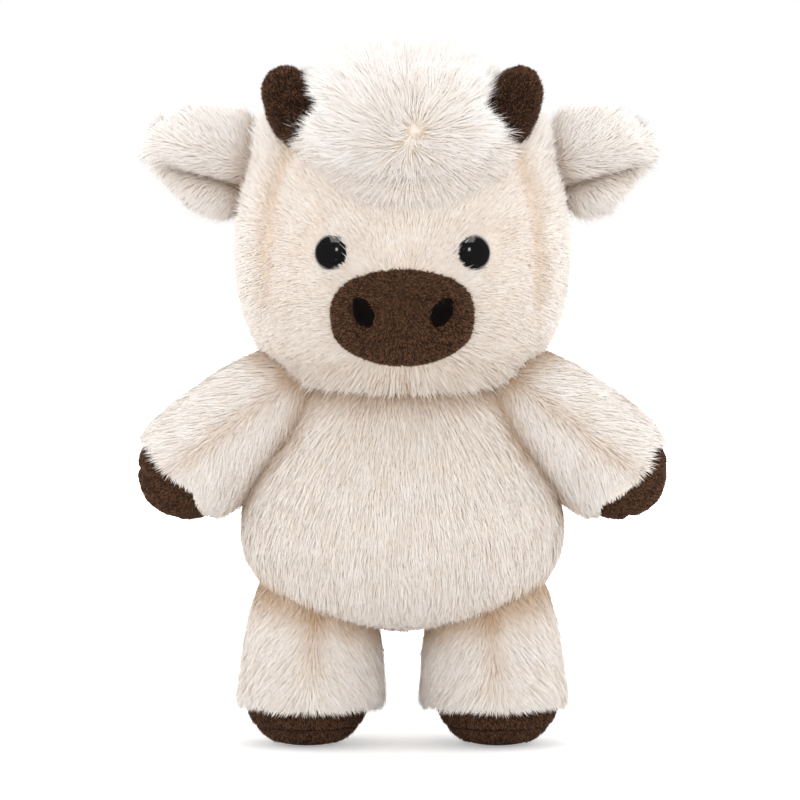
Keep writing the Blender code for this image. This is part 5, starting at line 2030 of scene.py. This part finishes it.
@dataclass
class Studio:
    """The camera, the lamps, the pale floor and the white surroundings."""

    distance: float = 2.2
    elevation_deg: float = 3.5
    field_width: float = 0.3305
    target: tuple[float, float, float] = (-0.001, 0.0, 0.1427)
    lit_height: float = 0.15
    room: float = 1.17
    room_colour: Colour = (1.0, 0.995, 0.985)
    lamp_colour: Colour = (1.0, 0.995, 0.99)
    mirrored_room: float = 0.05
    key: float = 4.0
    top: float = 9.0
    fill: float = 9.0
    glow: float = 3.9
    floor_half_side: float = 6.0
    floor_colour: Colour = (0.88, 0.87, 0.86)
    fade: tuple[float, float] = (0.14, 0.36)
    near_white: float = 0.1

    def build(self) -> None:
        """Sets the whole studio up."""
        self._camera()
        self._world()
        self._lamp("key", (0.12, -2.5, 1.2), (0.5, 0.62), self.key)
        self._lamp("top", (0.0, -0.3, 2.2), (1.6, 1.6), self.top)
        for side in Side:
            self._lamp("fill_" + side.label, (side.value * 2.2, 0.5, 0.7), (1.6, 1.6), self.fill, False)
        self._floor()
        bpy.context.scene.view_settings.view_transform = "Standard"

    def _camera(self) -> None:
        """Makes the camera, level with the toy's middle and a little above it."""
        data = bpy.data.cameras.new("camera")
        data.sensor_width = 36
        data.lens = data.sensor_width * self.distance / self.field_width
        data.clip_start, data.clip_end = 0.1, 20
        camera = placed("camera", data)
        tilt = math.radians(self.elevation_deg)
        camera.location = Vector(self.target) + self.distance * Vector((0, -math.cos(tilt), math.sin(tilt)))
        camera.rotation_euler = (math.pi / 2 - tilt, 0, 0)
        bpy.context.scene.camera = camera

    def _world(self) -> None:
        """Lights the toy evenly, shows white to the camera and a dim room in reflections."""
        world = bpy.data.worlds.new("studio")
        world.use_nodes = True
        nodes, links = world.node_tree.nodes, world.node_tree.links
        lit = nodes["Background"]
        lit.inputs["Color"].default_value = (*self.room_colour, 1)
        seen = nodes.new("ShaderNodeBackground")
        seen.inputs["Color"].default_value = (1, 1, 1, 1)
        path = nodes.new("ShaderNodeLightPath")
        through = nodes.new("ShaderNodeMath")
        through.operation = "MAXIMUM"
        links.new(path.outputs["Is Camera Ray"], through.inputs[0])
        links.new(path.outputs["Is Transmission Ray"], through.inputs[1])
        dim = nodes.new("ShaderNodeMapRange")
        dim.inputs["To Min"].default_value = self.room
        dim.inputs["To Max"].default_value = self.mirrored_room
        links.new(path.outputs["Is Glossy Ray"], dim.inputs["Value"])
        links.new(dim.outputs["Result"], lit.inputs["Strength"])
        mix = nodes.new("ShaderNodeMixShader")
        links.new(through.outputs[0], mix.inputs[0])
        links.new(lit.outputs[0], mix.inputs[1])
        links.new(seen.outputs[0], mix.inputs[2])
        links.new(mix.outputs[0], nodes["World Output"].inputs["Surface"])
        bpy.context.scene.world = world

    def _lamp(self, name: str, place: tuple[float, float, float], size: tuple[float, float], power: float,
              mirrored: bool = True) -> None:
        """Makes a soft lamp that points at the toy.

        Args:
            name: Its name.
            place: Where it hangs.
            size: Its width and height in metres.
            power: Its power in watts.
            mirrored: Whether glossy pieces mirror it.
        """
        data = bpy.data.lights.new(name, "AREA")
        data.shape, data.energy = "RECTANGLE", power
        data.size, data.size_y = size
        data.color = self.lamp_colour
        lamp = placed(name, data)
        lamp.location = place
        lamp.visible_glossy = mirrored
        outward = Vector(place) - Vector((0, 0, self.lit_height))
        lamp.rotation_euler = outward.to_track_quat("Z", "Y").to_euler()

    def _floor(self) -> None:
        """Makes the floor, which takes the toy's shadow and fades to white."""
        mesh = bpy.data.meshes.new("floor")
        half = self.floor_half_side
        mesh.from_pydata([(-half, -half, 0), (half, -half, 0), (half, half, 0), (-half, half, 0)], [],
                         [(0, 1, 2, 3)])
        floor = placed("floor", mesh)
        material, shader = new_surface("pale floor")
        nodes, links = material.node_tree.nodes, material.node_tree.links
        shader.inputs["Base Color"].default_value = (*self.floor_colour, 1)
        shader.inputs["Roughness"].default_value = 0.9
        shader.inputs["Specular IOR Level"].default_value = 0.1
        white = nodes.new("ShaderNodeEmission")
        white.inputs["Color"].default_value = (1, 1, 1, 1)
        white.inputs["Strength"].default_value = self.glow
        path = nodes.new("ShaderNodeLightPath")
        place = nodes.new("ShaderNodeTexCoord")
        length = nodes.new("ShaderNodeVectorMath")
        length.operation = "LENGTH"
        links.new(place.outputs["Object"], length.inputs[0])
        fade = nodes.new("ShaderNodeMapRange")
        fade.interpolation_type = "SMOOTHSTEP"
        fade.inputs["From Min"].default_value, fade.inputs["From Max"].default_value = self.fade
        fade.inputs["To Min"].default_value = self.near_white
        fade.inputs["To Max"].default_value = 1.0
        links.new(length.outputs["Value"], fade.inputs["Value"])
        seen = nodes.new("ShaderNodeMath")
        seen.operation = "MULTIPLY"
        links.new(path.outputs["Is Camera Ray"], seen.inputs[0])
        links.new(fade.outputs["Result"], seen.inputs[1])
        mix = nodes.new("ShaderNodeMixShader")
        links.new(seen.outputs[0], mix.inputs[0])
        links.new(shader.outputs[0], mix.inputs[1])
        links.new(white.outputs[0], mix.inputs[2])
        dark = nodes.new("ShaderNodeEmission")
        dark.inputs["Strength"].default_value = self.mirrored_room
        mirrored = nodes.new("ShaderNodeMixShader")
        links.new(path.outputs["Is Glossy Ray"], mirrored.inputs[0])
        links.new(mix.outputs[0], mirrored.inputs[1])
        links.new(dark.outputs[0], mirrored.inputs[2])
        links.new(mirrored.outputs[0], nodes["Material Output"].inputs["Surface"])
        mesh.materials.append(material)


def main() -> None:
    """Builds the studio and the toy from its body outwards."""
    logging.basicConfig(level=logging.INFO, format="%(name)s: %(message)s")
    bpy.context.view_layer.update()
    Studio().build()
    tree = PileTree()
    torso, head, forelock, nose, eyes = Torso(), Head(), Forelock(), Nose(), Eyes()
    horns, ears, arms, legs, tail = Horns(), Ears(), Arms(), Legs(), Tail()
    nose.place(head.form)
    arm_forms, leg_forms, ear_forms, horn_forms = (
        [maker.form(side) for side in Side] for maker in (arms, legs, ears, horns))
    eye_places = eyes.places(head.form)

    torso.build(tree, over=arm_forms + leg_forms, meets=[head.form, *arm_forms, *leg_forms])
    head.build(tree, over=[forelock.form, nose.form, *horn_forms, *ear_forms], meets=[torso.form, *ear_forms],
               eyes=[point for point, _ in eye_places.values()])
    forelock.build(tree, horn_forms)
    nose.build(tree)
    eyes.build(head.form)
    horns.build(tree)
    ears.build(tree, meets=[head.form])
    arms.build(tree, meets=[torso.form, head.form], over=[head.form, torso.form])
    legs.build(tree, meets=[torso.form], over=[torso.form])
    tail.build(tree)
    Filling().build()
    bpy.data.objects.remove(tree.strand)


if __name__ == "__main__":
    main()
